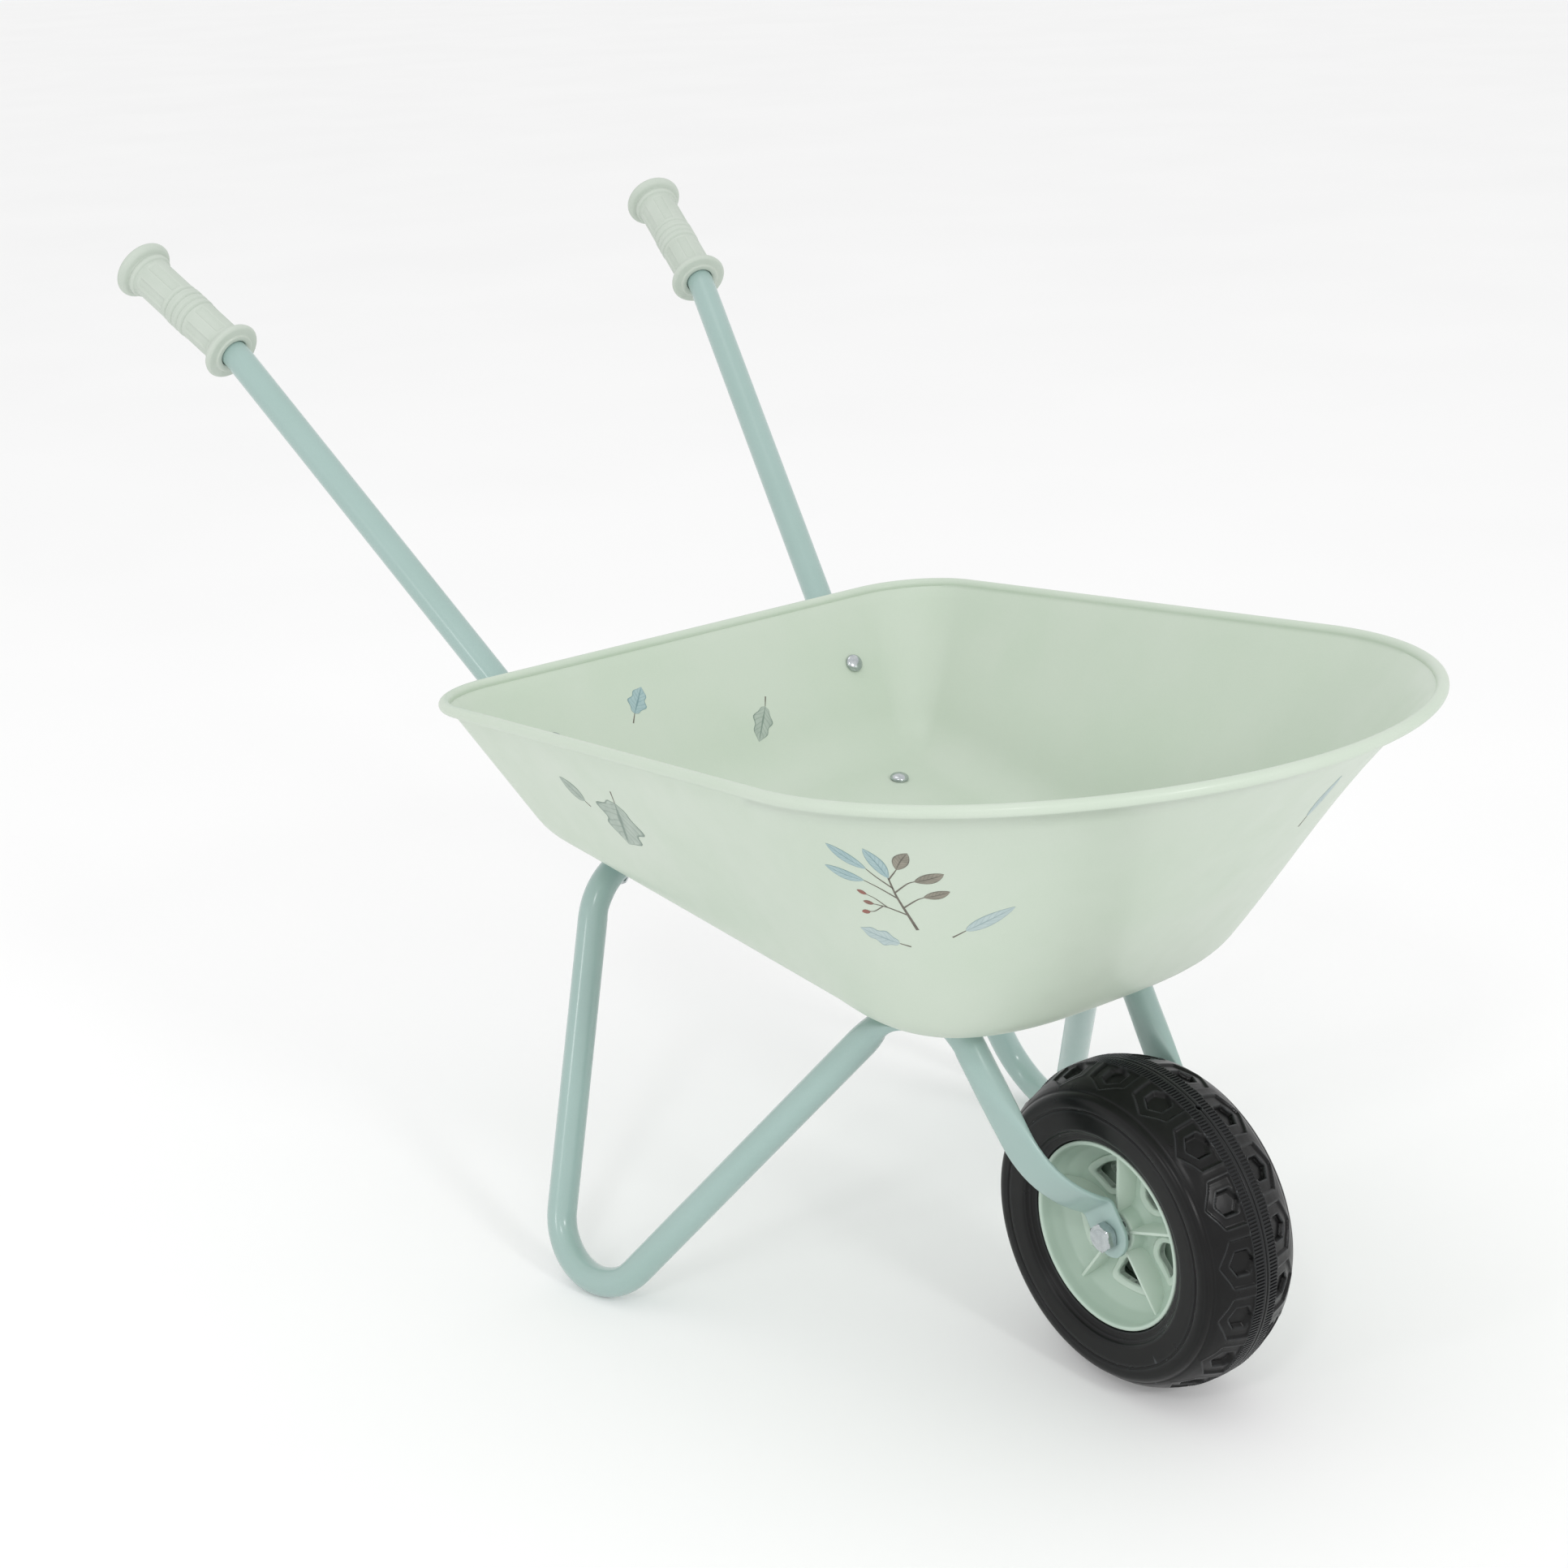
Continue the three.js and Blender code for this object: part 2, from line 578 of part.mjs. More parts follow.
// Where the crossbar comes closest to a rail: the leg bolt goes through there.
function findLegBolt() {
  const behind = (point) => point.x > -345 && point.x < -285 && point.y > 0;
  const railPoints = samplePoints(railStations()).filter(behind);
  const legPoints = samplePoints(legStations()).filter((point) => behind(point) && point.z > 150);
  let best = { distance: Infinity };
  for (const rail of railPoints) {
    for (const onLeg of legPoints) {
      const distance = rail.distanceTo(onLeg);
      if (distance < best.distance) best = { distance, rail, leg: onLeg };
    }
  }
  best.axis = best.rail.clone().sub(best.leg).normalize();
  return best;
}

const legBolt = findLegBolt();

function makeRail() {
  const stations = railStations();
  const tube = pressFlat(roundTube(stations), stations, pressFork);
  const axleHole = rodThrough(forkPoint(0, LUG_CENTRE_Y), new THREE.Vector3(0, 1, 0), AXLE.radius + GAP, 20, 16);
  const blindCentre = legBolt.rail.clone().addScaledVector(legBolt.axis, -5);
  return cut(tube, [
    rodThrough(wallBoltPoint, wallInward, DRILL, 60),
    rodThrough(rearBoltPoint, floorNormal, DRILL, 60),
    rodThrough(frontBoltPoint, floorNormal, DRILL, 60),
    rodThrough(blindCentre, legBolt.axis, DRILL, 12),
    axleHole,
  ]);
}

function makeLegFrame() {
  const stations = legStations();
  const tube = pressFlat(roundTube(stations), stations, pressLegEnd);
  const cutters = [];
  for (const side of [1, -1]) {
    const at = (point) => (side > 0 ? point : mirrored(point));
    cutters.push(rodThrough(at(frontBoltPoint), floorNormal, DRILL, 60));
    cutters.push(rodThrough(at(legBolt.leg), at(legBolt.axis), DRILL, 24));
  }
  return cut(tube, cutters);
}

const GRIP = {
  start: 2.2, length: 90, bore: TUBE_RADIUS + GAP, boreDepth: 76,
  body: 12, bodyEnd: 76.4, step: 13.8, flange: 17.4,
};

// A hollow sleeve with a flange at its open end, and a small step and a domed cap at its closed end.
function makeGrip() {
  const { body, bodyEnd, flange, step, bore, boreDepth, length } = GRIP;
  const profile = [
    [0, boreDepth], [bore, boreDepth], [bore, 0], [flange - 3, 0], [flange - 0.6, 1], [flange, 2.8],
    [flange - 0.8, 5.2], [body + 0.6, 6.8], [body, 9], [body, bodyEnd], [step, bodyEnd + 1], [step, 79.6],
    [step - 0.9, 80.2], [flange - 1.4, 81.6], [flange, 83.4], [flange, 85.4], [flange - 2.2, 87.1],
    [12.5, 88.6], [7, 89.7], [0, length],
  ].map(([r, h]) => new THREE.Vector2(r, h));
  const grip = new THREE.LatheGeometry(profile, 16);
  const turn = new THREE.Quaternion().setFromUnitVectors(new THREE.Vector3(0, 1, 0), gripAxis);
  const seat = gripBend.clone().addScaledVector(gripAxis, GRIP.start);
  return grip.applyQuaternion(turn).translate(seat.x, seat.y, seat.z);
}

// ---------------------------------------------------------------- wheel

// A lathe stands on its own Y axis, which is already the direction of the axle.
function makeTyre() {
  const side = [
    [82, 0], [81.1, 8], [78.6, 17], [74.9, 24], [72.2, 27.6], [69.2, 29.5], [65.4, WHEEL.halfWidth],
    [55, 29.2], [52.6, 26.9], [WHEEL.boreRadius + 0.6, 25.4],
  ];
  const bore = WHEEL.boreRadius;
  const profile = side.slice(1).reverse().map(([r, y]) => [r, y])
    .concat(side.map(([r, y]) => [r, -y]))
    .concat([[bore, -24.6], [bore, 24.6]]);
  profile.push(profile[0]);
  const turned = new THREE.LatheGeometry(profile.reverse().map(([r, y]) => new THREE.Vector2(r, y)), 40);
  return turned.translate(0, 0, WHEEL.radius);
}

const RIB_COUNT = 5;
const RIB_ANGLE = 18;               // degrees, of the first rib

// A window between two ribs: a rounded wedge cut through the dish.
function hubWindow(angle) {
  const spread = THREE.MathUtils.degToRad(20);
  const shape = new THREE.Shape();
  shape.absarc(0, 0, 35, angle - spread, angle + spread, false);
  shape.absarc(0, 0, 20, angle + spread * 0.7, angle - spread * 0.7, true);
  shape.closePath();
  const block = new THREE.ExtrudeGeometry(shape, { depth: 30, bevelEnabled: false, curveSegments: 3 });
  return block.rotateX(Math.PI / 2).translate(0, 26, 0);
}

function makeHubHalf(side) {
  const lip = WHEEL.hubHalfWidth;
  const edge = WHEEL.hubRadius;
  const profile = [
    [6.3, 17], [10.5, 17], [11.5, 8], [14, 6], [28, 5], [36, 7.6], [42, 13.6], [45, 20], [46.1, lip], [edge, lip],
    [edge, 20.5], [44.6, 12.2], [38, 5], [29, 2.6], [13, 2.6], [11, 0.2], [6.3, 0.2], [6.3, 17],
  ].map(([r, y]) => new THREE.Vector2(r, y));
  const dish = new THREE.LatheGeometry(profile.reverse(), 30);
  const ribs = [];
  const windows = [];
  for (let k = 0; k < RIB_COUNT; k += 1) {
    const angle = THREE.MathUtils.degToRad(RIB_ANGLE + (360 / RIB_COUNT) * k);
    const rib = new THREE.BoxGeometry(34, 12, 2).translate(27, 10.2, 0);
    ribs.push(rib.rotateY(-angle));
    windows.push(hubWindow(-angle - Math.PI / RIB_COUNT));
  }
  const hub = join(cut(dish, windows), ribs);
  // The lathe stands on the local Y axis; the left half faces +Y and the right half -Y.
  const turned = side > 0 ? hub : mirroredGeometry(hub);
  return turned.translate(0, 0, WHEEL.radius);
}

// ---------------------------------------------------------------- fasteners

function domeBolt(length) {
  const { radius, headRadius, headHeight } = BOLT;
  const profile = [
    [0, -length], [radius, -length], [radius, GAP], [headRadius, GAP], [headRadius - 0.3, GAP + 1.1],
    [headRadius * 0.7, headHeight - 0.4], [0, headHeight + GAP],
  ].map(([r, h]) => new THREE.Vector2(r, h));
  return new THREE.LatheGeometry(profile, 10);
}

function hexagon(flats, holeRadius) {
  const shape = new THREE.Shape();
  const corner = flats / Math.sqrt(3);
  for (let k = 0; k < 6; k += 1) {
    const angle = (Math.PI / 3) * k;
    if (k === 0) shape.moveTo(corner, 0);
    else shape.lineTo(corner * Math.cos(angle), corner * Math.sin(angle));
  }
  shape.closePath();
  if (holeRadius > 0) {
    const hole = new THREE.Path();
    hole.absarc(0, 0, holeRadius, 0, 2 * Math.PI, true);
    shape.holes.push(hole);
  }
  return shape;
}

// Extruded along local +Y from 0.
function prism(shape, height) {
  return new THREE.ExtrudeGeometry(shape, { depth: height, bevelEnabled: false, curveSegments: 6 })
    .rotateX(-Math.PI / 2);
}

function washerRing(inner, outer, height) {
  const profile = [[inner, 0], [outer, 0], [outer, height], [inner, height], [inner, 0]]
    .map(([r, h]) => new THREE.Vector2(r, h));
  return new THREE.LatheGeometry(profile, 10);
}

function hexBolt(flats, headHeight, radius, length) {
  const head = prism(hexagon(flats, 0), headHeight);
  const shank = new THREE.CylinderGeometry(radius, radius, length + 1, 16).translate(0, (1 - length) / 2, 0);
  return join(head, [shank]);
}

// ---------------------------------------------------------------- assembly

const assembly = new THREE.Group();
assembly.position.set(AXLE_X, 0, 0);

function addPiece(name, geometry, material) {
  const mesh = new THREE.Mesh(geometry, material);
  mesh.name = name;
  assembly.add(mesh);
  return mesh;
}

// Places a piece whose local +Y is its axis, standing on a point.
function stand(mesh, point, axis) {
  mesh.position.copy(point);
  mesh.quaternion.setFromUnitVectors(new THREE.Vector3(0, 1, 0), axis);
}

addPiece('tray', makeTray(), PAINT_TRAY());
const railGeometry = makeRail();
addPiece('rail_left', railGeometry, PAINT_TUBE());
addPiece('rail_right', mirroredGeometry(railGeometry), PAINT_TUBE());
addPiece('leg_frame', makeLegFrame(), PAINT_TUBE());
const gripGeometry = makeGrip();
addPiece('grip_left', gripGeometry, GRIP_PLASTIC());
addPiece('grip_right', mirroredGeometry(gripGeometry), GRIP_PLASTIC());

// One tray bolt with its washer and nut: stack is the depth from the sheet's outer face to the washer.
function addTrayBolt(name, point, axis, stack) {
  const head = point.clone().addScaledVector(axis, SHEET);
  const tip = stack + SHEET + BOLT.washer + GAP + BOLT.nutHeight + BOLT.past;
  const washer = point.clone().addScaledVector(axis, -stack - BOLT.washer);
  const nut = washer.clone().addScaledVector(axis, -GAP - BOLT.nutHeight);
  stand(addPiece(`${name}_bolt`, domeBolt(tip), ZINC()), head, axis);
  stand(addPiece(`${name}_washer`, washerRing(DRILL, 6, BOLT.washer), ZINC()), washer, axis);
  stand(addPiece(`${name}_nut`, prism(hexagon(BOLT.nutFlats, DRILL), BOLT.nutHeight), ZINC()), nut, axis);
}

const tubeStack = RAIL_OFFSET + TUBE_RADIUS + GAP;
for (const [sideName, side] of [['left', 1], ['right', -1]]) {
  const at = (point) => (side > 0 ? point : mirrored(point));
  addTrayBolt(`wall_${sideName}`, at(wallBoltPoint), wallInward, tubeStack + 0.7);
  addTrayBolt(`rear_${sideName}`, at(rearBoltPoint), floorNormal, tubeStack);
  addTrayBolt(`front_${sideName}`, at(frontBoltPoint), floorNormal, tubeStack + 2 * FLAT_HALF_THICKNESS + GAP);
  const legSeat = legBolt.leg.clone().addScaledVector(legBolt.axis, -TUBE_RADIUS - 2 * GAP);
  const screw = hexBolt(LEG_SCREW.flats, LEG_SCREW.headHeight, BOLT.radius, LEG_SCREW.length).rotateX(Math.PI);
  stand(addPiece(`leg_bolt_${sideName}`, screw, ZINC()), at(legSeat), at(legBolt.axis));
}

const lugFace = LUG_CENTRE_Y + FLAT_HALF_THICKNESS + GAP;
const axleUp = new THREE.Vector3(0, 1, 0);
const axleDown = new THREE.Vector3(0, -1, 0);
const boltSpan = 2 * lugFace + AXLE.nutHeight + 3;
const axleBolt = addPiece('axle_bolt', hexBolt(AXLE.headFlats, AXLE.headHeight, AXLE.radius, boltSpan), ZINC());
stand(axleBolt, new THREE.Vector3(0, -lugFace, WHEEL.radius), axleDown);
const axleNut = addPiece('axle_nut', prism(hexagon(AXLE.headFlats, AXLE.radius + GAP), AXLE.nutHeight), ZINC());
stand(axleNut, new THREE.Vector3(0, lugFace, WHEEL.radius), axleUp);
const sleeveHalf = LUG_CENTRE_Y - FLAT_HALF_THICKNESS - GAP;
const sleeve = addPiece('axle_sleeve', washerRing(AXLE.radius + GAP, AXLE.sleeveRadius, 2 * sleeveHalf), ZINC());
stand(sleeve, new THREE.Vector3(0, -sleeveHalf, WHEEL.radius), axleUp);
for (const [sideName, side] of [['left', 1], ['right', -1]]) {
  const spacer = washerRing(AXLE.sleeveRadius + GAP, 9.5, 2);
  const mesh = addPiece(`axle_spacer_${sideName}`, spacer, ZINC());
  stand(mesh, new THREE.Vector3(0, side * (sleeveHalf - 2.2), WHEEL.radius), side > 0 ? axleUp : axleDown);
}

addPiece('tyre', makeTyre(), TYRE_PLASTIC());
addPiece('hub_left', makeHubHalf(1), HUB_PLASTIC());
addPiece('hub_right', makeHubHalf(-1), HUB_PLASTIC());

export default assembly;
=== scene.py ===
from collections import namedtuple
from math import acos, atan2, ceil, copysign, cos, degrees, exp, hypot, pi, radians, sin, sqrt, tan

import bmesh
import bpy
import numpy as np
from mathutils import Matrix, Vector
from mathutils.bvhtree import BVHTree

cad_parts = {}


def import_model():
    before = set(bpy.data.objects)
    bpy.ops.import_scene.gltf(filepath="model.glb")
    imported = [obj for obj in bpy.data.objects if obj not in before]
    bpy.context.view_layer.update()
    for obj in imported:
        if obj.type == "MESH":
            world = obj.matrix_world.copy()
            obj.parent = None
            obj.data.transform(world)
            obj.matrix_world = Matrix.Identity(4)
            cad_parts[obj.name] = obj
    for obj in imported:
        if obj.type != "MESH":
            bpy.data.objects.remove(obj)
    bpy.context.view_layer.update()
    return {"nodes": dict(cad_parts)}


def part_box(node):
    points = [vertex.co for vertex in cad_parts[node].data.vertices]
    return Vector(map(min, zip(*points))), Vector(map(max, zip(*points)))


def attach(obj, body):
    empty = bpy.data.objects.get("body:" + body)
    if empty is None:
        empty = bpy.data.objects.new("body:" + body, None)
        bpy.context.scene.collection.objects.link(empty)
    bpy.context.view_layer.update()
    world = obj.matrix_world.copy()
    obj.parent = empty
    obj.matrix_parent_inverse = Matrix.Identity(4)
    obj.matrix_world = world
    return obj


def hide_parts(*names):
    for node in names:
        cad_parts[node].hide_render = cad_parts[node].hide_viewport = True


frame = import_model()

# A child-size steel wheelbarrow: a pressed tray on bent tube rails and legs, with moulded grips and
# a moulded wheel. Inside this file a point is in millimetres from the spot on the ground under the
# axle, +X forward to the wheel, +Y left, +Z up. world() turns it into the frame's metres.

MM = 0.001


def box_centre(node):
    low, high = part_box(node)
    return (Vector(low) + Vector(high)) / 2


AXLE_GROUND = Vector((box_centre("axle_sleeve").x, 0, 0))


def world(point):
    return AXLE_GROUND + Vector(point) * MM


def local(point):
    return (Vector(point) - AXLE_GROUND) / MM


# ---- sizes, in millimetres

TUBE_RADIUS = 8
TUBE_SIDES = 32
ARC_STEP = 5  # degrees of bend per tube ring
STRAIGHT_STEP = 5  # between the rings of a straight run
FLAT_HALF_WIDTH = 11.7
FLAT_HALF_THICKNESS = 1.6
GAP = 0.3
PINCH = 1.0  # how far the inside of a bend is pressed in
KNEE_RADIUS = 34
KNEE_PINCH = 2.3

WHEEL_RADIUS = 82
LUG_CENTRE_Y = 21.7
SHEET = 1.2
BEAD_RADIUS = 3
BEAD_STEPS = 17
Outline = namedtuple("Outline", "height slope rear_x rear_half corner side_end side_half nose_x power")
RIM = Outline(336.3, 0.0922, -365.7, 172.2, 45, -48.8, 180.5, 116.2, 1.95)
FLOOR = Outline(179.6, -0.1403, -315, 125.9, 13.7, -96.6, 108, -23.6, 3.1)
REAR_STEPS, CORNER_STEPS, SIDE_STEPS, NOSE_STEPS = 10, 14, 22, 56
FILLET_REACH = 23.7
FILLET_STEPS = 10
WALL_STEPS = 12
INSET_REAR = 3
INSET_SIDE = 2.7
INSET_NOSE = 7.6
NOSE_BOW = 3.8

HANDLE_START = Vector((-559.3, 0, 463.5))
HANDLE_SLOPE = -0.945
BEND_TO_GRIP = 5
TUBE_IN_GRIP = 75
RAIL_PLAN_X = -277.9
RAIL_PLAN_Y = 82
RAIL_PLAN_SLOPE = -0.282
RAIL_PLAN_BEND_X = -258
GRIP_FLANGE = Vector((-628.1, 177.6, 503.5))
RAIL_OFFSET = TUBE_RADIUS + 0.4
FORK_KNEE = Vector((-69, 56.2, 180.8))
FORK_ARC_Y = 51.3
FORK_ARC_RADIUS = 54.5
FORK_ARC_START = -59
FORK_ARC_ANGLE = radians(60)
FORK_TOE_IN = radians(4.6)
FORK_FLATTEN = (-98, -50)
RAIL_BEND_RADII = (0, 40, 45, 45, 110, KNEE_RADIUS, FORK_ARC_RADIUS, 4.5, 0)

FOOT = Vector((-262.4, 185.2, -41.95))
REAR_LEG_DIR = Vector((-48.6, -80.3, 224.9)).normalized()
FRONT_LEG_DIR = Vector((146.4, -109.8, 205.1)).normalized()
CROSSBAR_Z = 204.4
LEG_RADII = (0, 20, 34.3, 40, 40, 34.3, 20, 0)
FRONT_BOLT_X = -94
LEG_FLATTEN = (-12, 7)
LUG_LENGTH = 45
LUG_REAR_X = -130

BOLT_RADIUS = 2.5
NUT_FLATS = 8
LEG_SCREW_HEAD = 1.8
AXLE_RADIUS = 4
AXLE_FLATS = 13
AXLE_HEAD = 5.3


# ---- small tools

UP = Vector((0, 0, 1))
SIDES = (("left", 1), ("right", -1))


def lerp(a, b, t):
    return a + (b - a) * t


def smoothstep(x, low, high):
    t = min(1.0, max(0.0, (x - low) / (high - low)))
    return t * t * (3 - 2 * t)


def curve(start, corner, end, t):
    """A point of the soft curve from start to end that a corner pulls towards itself."""
    return start * (1 - t) ** 2 + corner * (2 * t * (1 - t)) + end * t ** 2


def around(count):
    """Evenly spaced angles of a full turn."""
    return [2 * pi * k / count for k in range(count)]


def sided(point, side):
    """The same point when side is 1, or its mirror image on the other side when it is -1."""
    x, y, z = point
    return Vector((x, y * side, z))


def square_to(axis, reference):
    """Two directions square to an axis and to each other, the first as near the reference as it can be."""
    wide = (reference - axis * reference.dot(axis)).normalized()
    return wide, axis.cross(wide)


def fillet(before, corner, after, reach, share, steps):
    """A small curve over a corner, taking up no more than a share of either side."""
    into, out = before - corner, after - corner
    reach = min(reach, into.length * share, out.length * share)
    start = corner + into.normalized() * reach
    end = corner + out.normalized() * reach
    return [curve(start, corner, end, k / steps) for k in range(steps + 1)]


def rounded(profile, radius, steps=3):
    """A broken line of (r, h) points with each inner corner turned into a small curve."""
    corners = [Vector(p) for p in profile]
    line = corners[:1]
    for before, corner, after in zip(corners, corners[1:], corners[2:]):
        line += fillet(before, corner, after, radius, 0.45, steps)
    return line + corners[-1:]


def resampled(line, step_at):
    """The same line with points added so that no piece is longer than step_at(point) allows."""
    out = [line[0]]
    for a, b in zip(line, line[1:]):
        count = max(1, ceil((b - a).length / step_at((a + b) / 2)))
        out += [a.lerp(b, k / count) for k in range(1, count + 1)]
    return out


def placed(name, data):
    """A new object of the scene, holding a mesh, a camera or a light."""
    piece = bpy.data.objects.new(name, data)
    bpy.context.scene.collection.objects.link(piece)
    return piece


class Shell:
    """Points and faces gathered before they become one mesh."""

    def __init__(self):
        self.points = []
        self.faces = []
        self.marks = []

    def add(self, points, faces, marks=None):
        base = len(self.points)
        self.points += [Vector(p) for p in points]
        self.faces += [[base + i for i in face] for face in faces]
        self.marks += marks or [(0.0, 0.0, 0.0)] * len(points)

    def loft(self, rings, loop=False, caps=True, marks=None):
        """Faces between closed rings of equal length; loop joins the last ring to the first."""
        size = len(rings[0])
        last = len(rings) if loop else len(rings) - 1
        faces = []
        for j in range(last):
            low = j * size
            high = ((j + 1) % len(rings)) * size
            faces += [[low + i, low + (i + 1) % size, high + (i + 1) % size, high + i] for i in range(size)]
        if caps and not loop:
            faces.append(list(range(size))[::-1])
            faces.append([(len(rings) - 1) * size + i for i in range(size)])
        self.add([p for ring in rings for p in ring], faces, marks)

    def turned(self, profile, point, axis, sides=32, reach=None, loop=False):
        """A turned solid: profile is (radius, height) pairs, reach may bend the radius at an angle."""
        wide, deep = square_to(axis, Vector((0.31, 0.17, 0.94)) if abs(axis.z) < 0.9 else Vector((1, 0, 0)))
        rings = []
        for r, h in profile:
            ring = []
            for angle in around(sides):
                radius = reach(angle, r, h) if reach else r
                ring.append(point + axis * h + (wide * cos(angle) + deep * sin(angle)) * radius)
            rings.append(ring)
        self.loft(rings, loop=loop, caps=False)

    def mesh(self, name):
        """The shell as a mesh in the frame's metres, with its marks."""
        mesh = bpy.data.meshes.new(name)
        mesh.from_pydata([world(p) for p in self.points], [], self.faces)
        marks = mesh.attributes.new("mark", "FLOAT_VECTOR", "POINT")
        marks.data.foreach_set("vector", [c for mark in self.marks for c in mark])
        work = bmesh.new()
        work.from_mesh(mesh)
        bmesh.ops.remove_doubles(work, verts=work.verts, dist=0.01 * MM)
        bmesh.ops.recalc_face_normals(work, faces=work.faces)
        work.to_mesh(mesh)
        work.free()
        return mesh

    def make(self, name, look, slot, body, nodes, sharp=32):
        """One object from the shell, riding on a body in place of CAD nodes."""
        mesh = self.mesh(name)
        mesh.shade_smooth()
        mesh.set_sharp_from_angle(angle=radians(sharp))
        mesh.materials.append(look)
        piece = placed(name, mesh)
        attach(piece, body)
        if nodes:
            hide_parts(*nodes)


# ---- materials

def srgb(code):
    """A hex colour as linear red, green, blue and alpha."""
    parts = [int(code[i:i + 2], 16) / 255 for i in (0, 2, 4)]
    return [p / 12.92 if p <= 0.04045 else ((p + 0.055) / 1.055) ** 2.4 for p in parts] + [1.0]


COAT_ROUGHNESS = 0.2
FLOOR_GLOW = 0.14


class Look:
    """A material under construction: short calls add its nodes."""

    def __init__(self, name, metallic=0.0, specular=0.5, coat=0.0):
        self.material = bpy.data.materials.new(name)
        self.material.use_nodes = True
        self.tree = self.material.node_tree
        self.tree.nodes.clear()
        self.shader = self.add("ShaderNodeBsdfPrincipled", {
            "Metallic": metallic, "Specular IOR Level": specular,
            "Coat Weight": coat, "Coat Roughness": COAT_ROUGHNESS})
        self.add("ShaderNodeOutputMaterial", {"Surface": self.shader.outputs[0]})
        self.place = self.add("ShaderNodeTexCoord").outputs["Object"]

    def add(self, kind, inputs=None, **settings):
        """A node; each input is a number, a hex colour or another node's output."""
        node = self.tree.nodes.new(kind)
        for name, value in settings.items():
            setattr(node, name, value)
        self.feed(node, inputs or {})
        return node

    def feed(self, node, inputs):
        for key, value in inputs.items():
            if isinstance(value, bpy.types.NodeSocket):
                self.tree.links.new(value, node.inputs[key])
            else:
                node.inputs[key].default_value = srgb(value) if isinstance(value, str) else value

    def noise(self, size, detail, place=None):
        """Soft noise whose blobs are about size millimetres across."""
        inputs = {"Vector": place or self.place, "Scale": 1 / (size * MM), "Detail": detail}
        return self.add("ShaderNodeTexNoise", inputs).outputs["Fac"]

    def spread(self, source, low, high, out_low=0.0, out_high=1.0):
        inputs = {"Value": source, "From Min": low, "From Max": high, "To Min": out_low, "To Max": out_high}
        return self.add("ShaderNodeMapRange", inputs).outputs["Result"]

    def blend(self, factor, first, second):
        """A colour between two colours, each a hex code or a socket."""
        inputs = {"Factor": factor, 6: first, 7: second}
        return self.add("ShaderNodeMix", inputs, data_type="RGBA").outputs[2]

    def clouds(self, size, detail, first, second):
        """Soft patches of two colours."""
        return self.blend(self.spread(self.noise(size, detail), 0.35, 0.65), first, second)

    def tint(self, tone, source, low, high, out_low, out_high, colour):
        """The tone with a share of a colour: out_low where the source is low, out_high where it is high."""
        return self.blend(self.spread(source, low, high, out_low, out_high), tone, colour)

    def calculate(self, operation, *values):
        return self.add("ShaderNodeMath", dict(enumerate(values)), operation=operation).outputs[0]

    def sum(self, first, second, weight):
        """first + second * weight, for heights."""
        return self.calculate("MULTIPLY_ADD", second, weight, first)

    def marks(self):
        """The three numbers that each point of the mesh carries."""
        attribute = self.add("ShaderNodeAttribute", attribute_name="mark")
        return list(self.add("ShaderNodeSeparateXYZ", {0: attribute.outputs["Vector"]}).outputs)

    def pointed(self):
        """How sharp the mesh is: over 0.5 along outer edges, under it in creases."""
        return self.add("ShaderNodeNewGeometry").outputs["Pointiness"]

    def finish(self, tone, rough, height, depth, strength=0.35):
        """Colour, patchy roughness as (size, detail, low, high), and a bump of a depth in millimetres."""
        size, detail, low, high = rough
        bump = self.add("ShaderNodeBump", {"Strength": strength, "Distance": depth * MM, "Height": height})
        self.feed(self.shader, {
            "Base Color": tone, "Normal": bump.outputs["Normal"],
            "Roughness": self.spread(self.noise(size, detail), 0.3, 0.7, low, high)})
        return self.material


def paint(name, base, shade, edge, grain, coat):
    """Powder-coat paint: a faint orange-peel skin, cloudy colour and paler worn edges."""
    look = Look(name, coat=coat)
    tone = look.clouds(55, 4, base, shade)
    tone = look.tint(tone, look.noise(grain * 0.45, 2), 0.3, 0.7, 0, 0.16, edge)
    tone = look.tint(tone, look.pointed(), 0.52, 0.6, 0, 0.55, edge)
    skin = look.sum(look.noise(grain, 2), look.noise(9, 2), 0.5)
    return look.finish(tone, (14, 5, 0.40, 0.52), skin, 0.05)


def moulded(name, base, shade, edge, rough, grain):
    """Moulded plastic: a fine matt grain, slight flow clouds and a painted highlight along edges."""
    look = Look(name, specular=0.4)
    tone = look.clouds(24, 3, base, shade)
    # Painted highlight: sharp outer edges, such as lips and rib tops, are lightened towards the edge
    # colour, standing in for the light they catch.
    tone = look.tint(tone, look.pointed(), 0.505, 0.57, 0, 0.6, edge)
    cells = look.add("ShaderNodeTexVoronoi", {"Vector": look.place, "Scale": 1 / (grain * MM)})
    skin = look.sum(cells.outputs["Distance"], look.noise(5, 2), 0.8)
    return look.finish(tone, (6, 4, rough - 0.06, rough + 0.07), skin, 0.035)


def tyre_plastic():
    """Blow-moulded black plastic: satin, with a painted highlight along edges that is held off the teeth,
    painted shade in creases, and a sand texture.
    """
    look = Look("tyre_plastic_look", specular=0.25)
    tone = look.clouds(20, 4, "060606", "0A0A0B")
    # Painted highlight: sharp outer edges are lightened to a pale grey, standing in for the light they
    # catch.
    tone = look.tint(tone, look.pointed(), 0.51, 0.58, 0, 0.7, "484B4D")
    # Painted shade: creases and pockets are darkened towards black, standing in for the shade that gathers
    # in them.
    tone = look.tint(tone, look.pointed(), 0.44, 0.495, 0.6, 0, "020202")
    # The teeth, marked 1, are pulled back to the base black, which takes the painted edge highlight off
    # them.
    tone = look.tint(tone, look.marks()[0], 0, 1, 0, 0.75, "08080A")
    skin = look.sum(look.noise(0.8, 3), look.noise(7, 2), 1.4)
    return look.finish(tone, (11, 5, 0.27, 0.36), skin, 0.04)


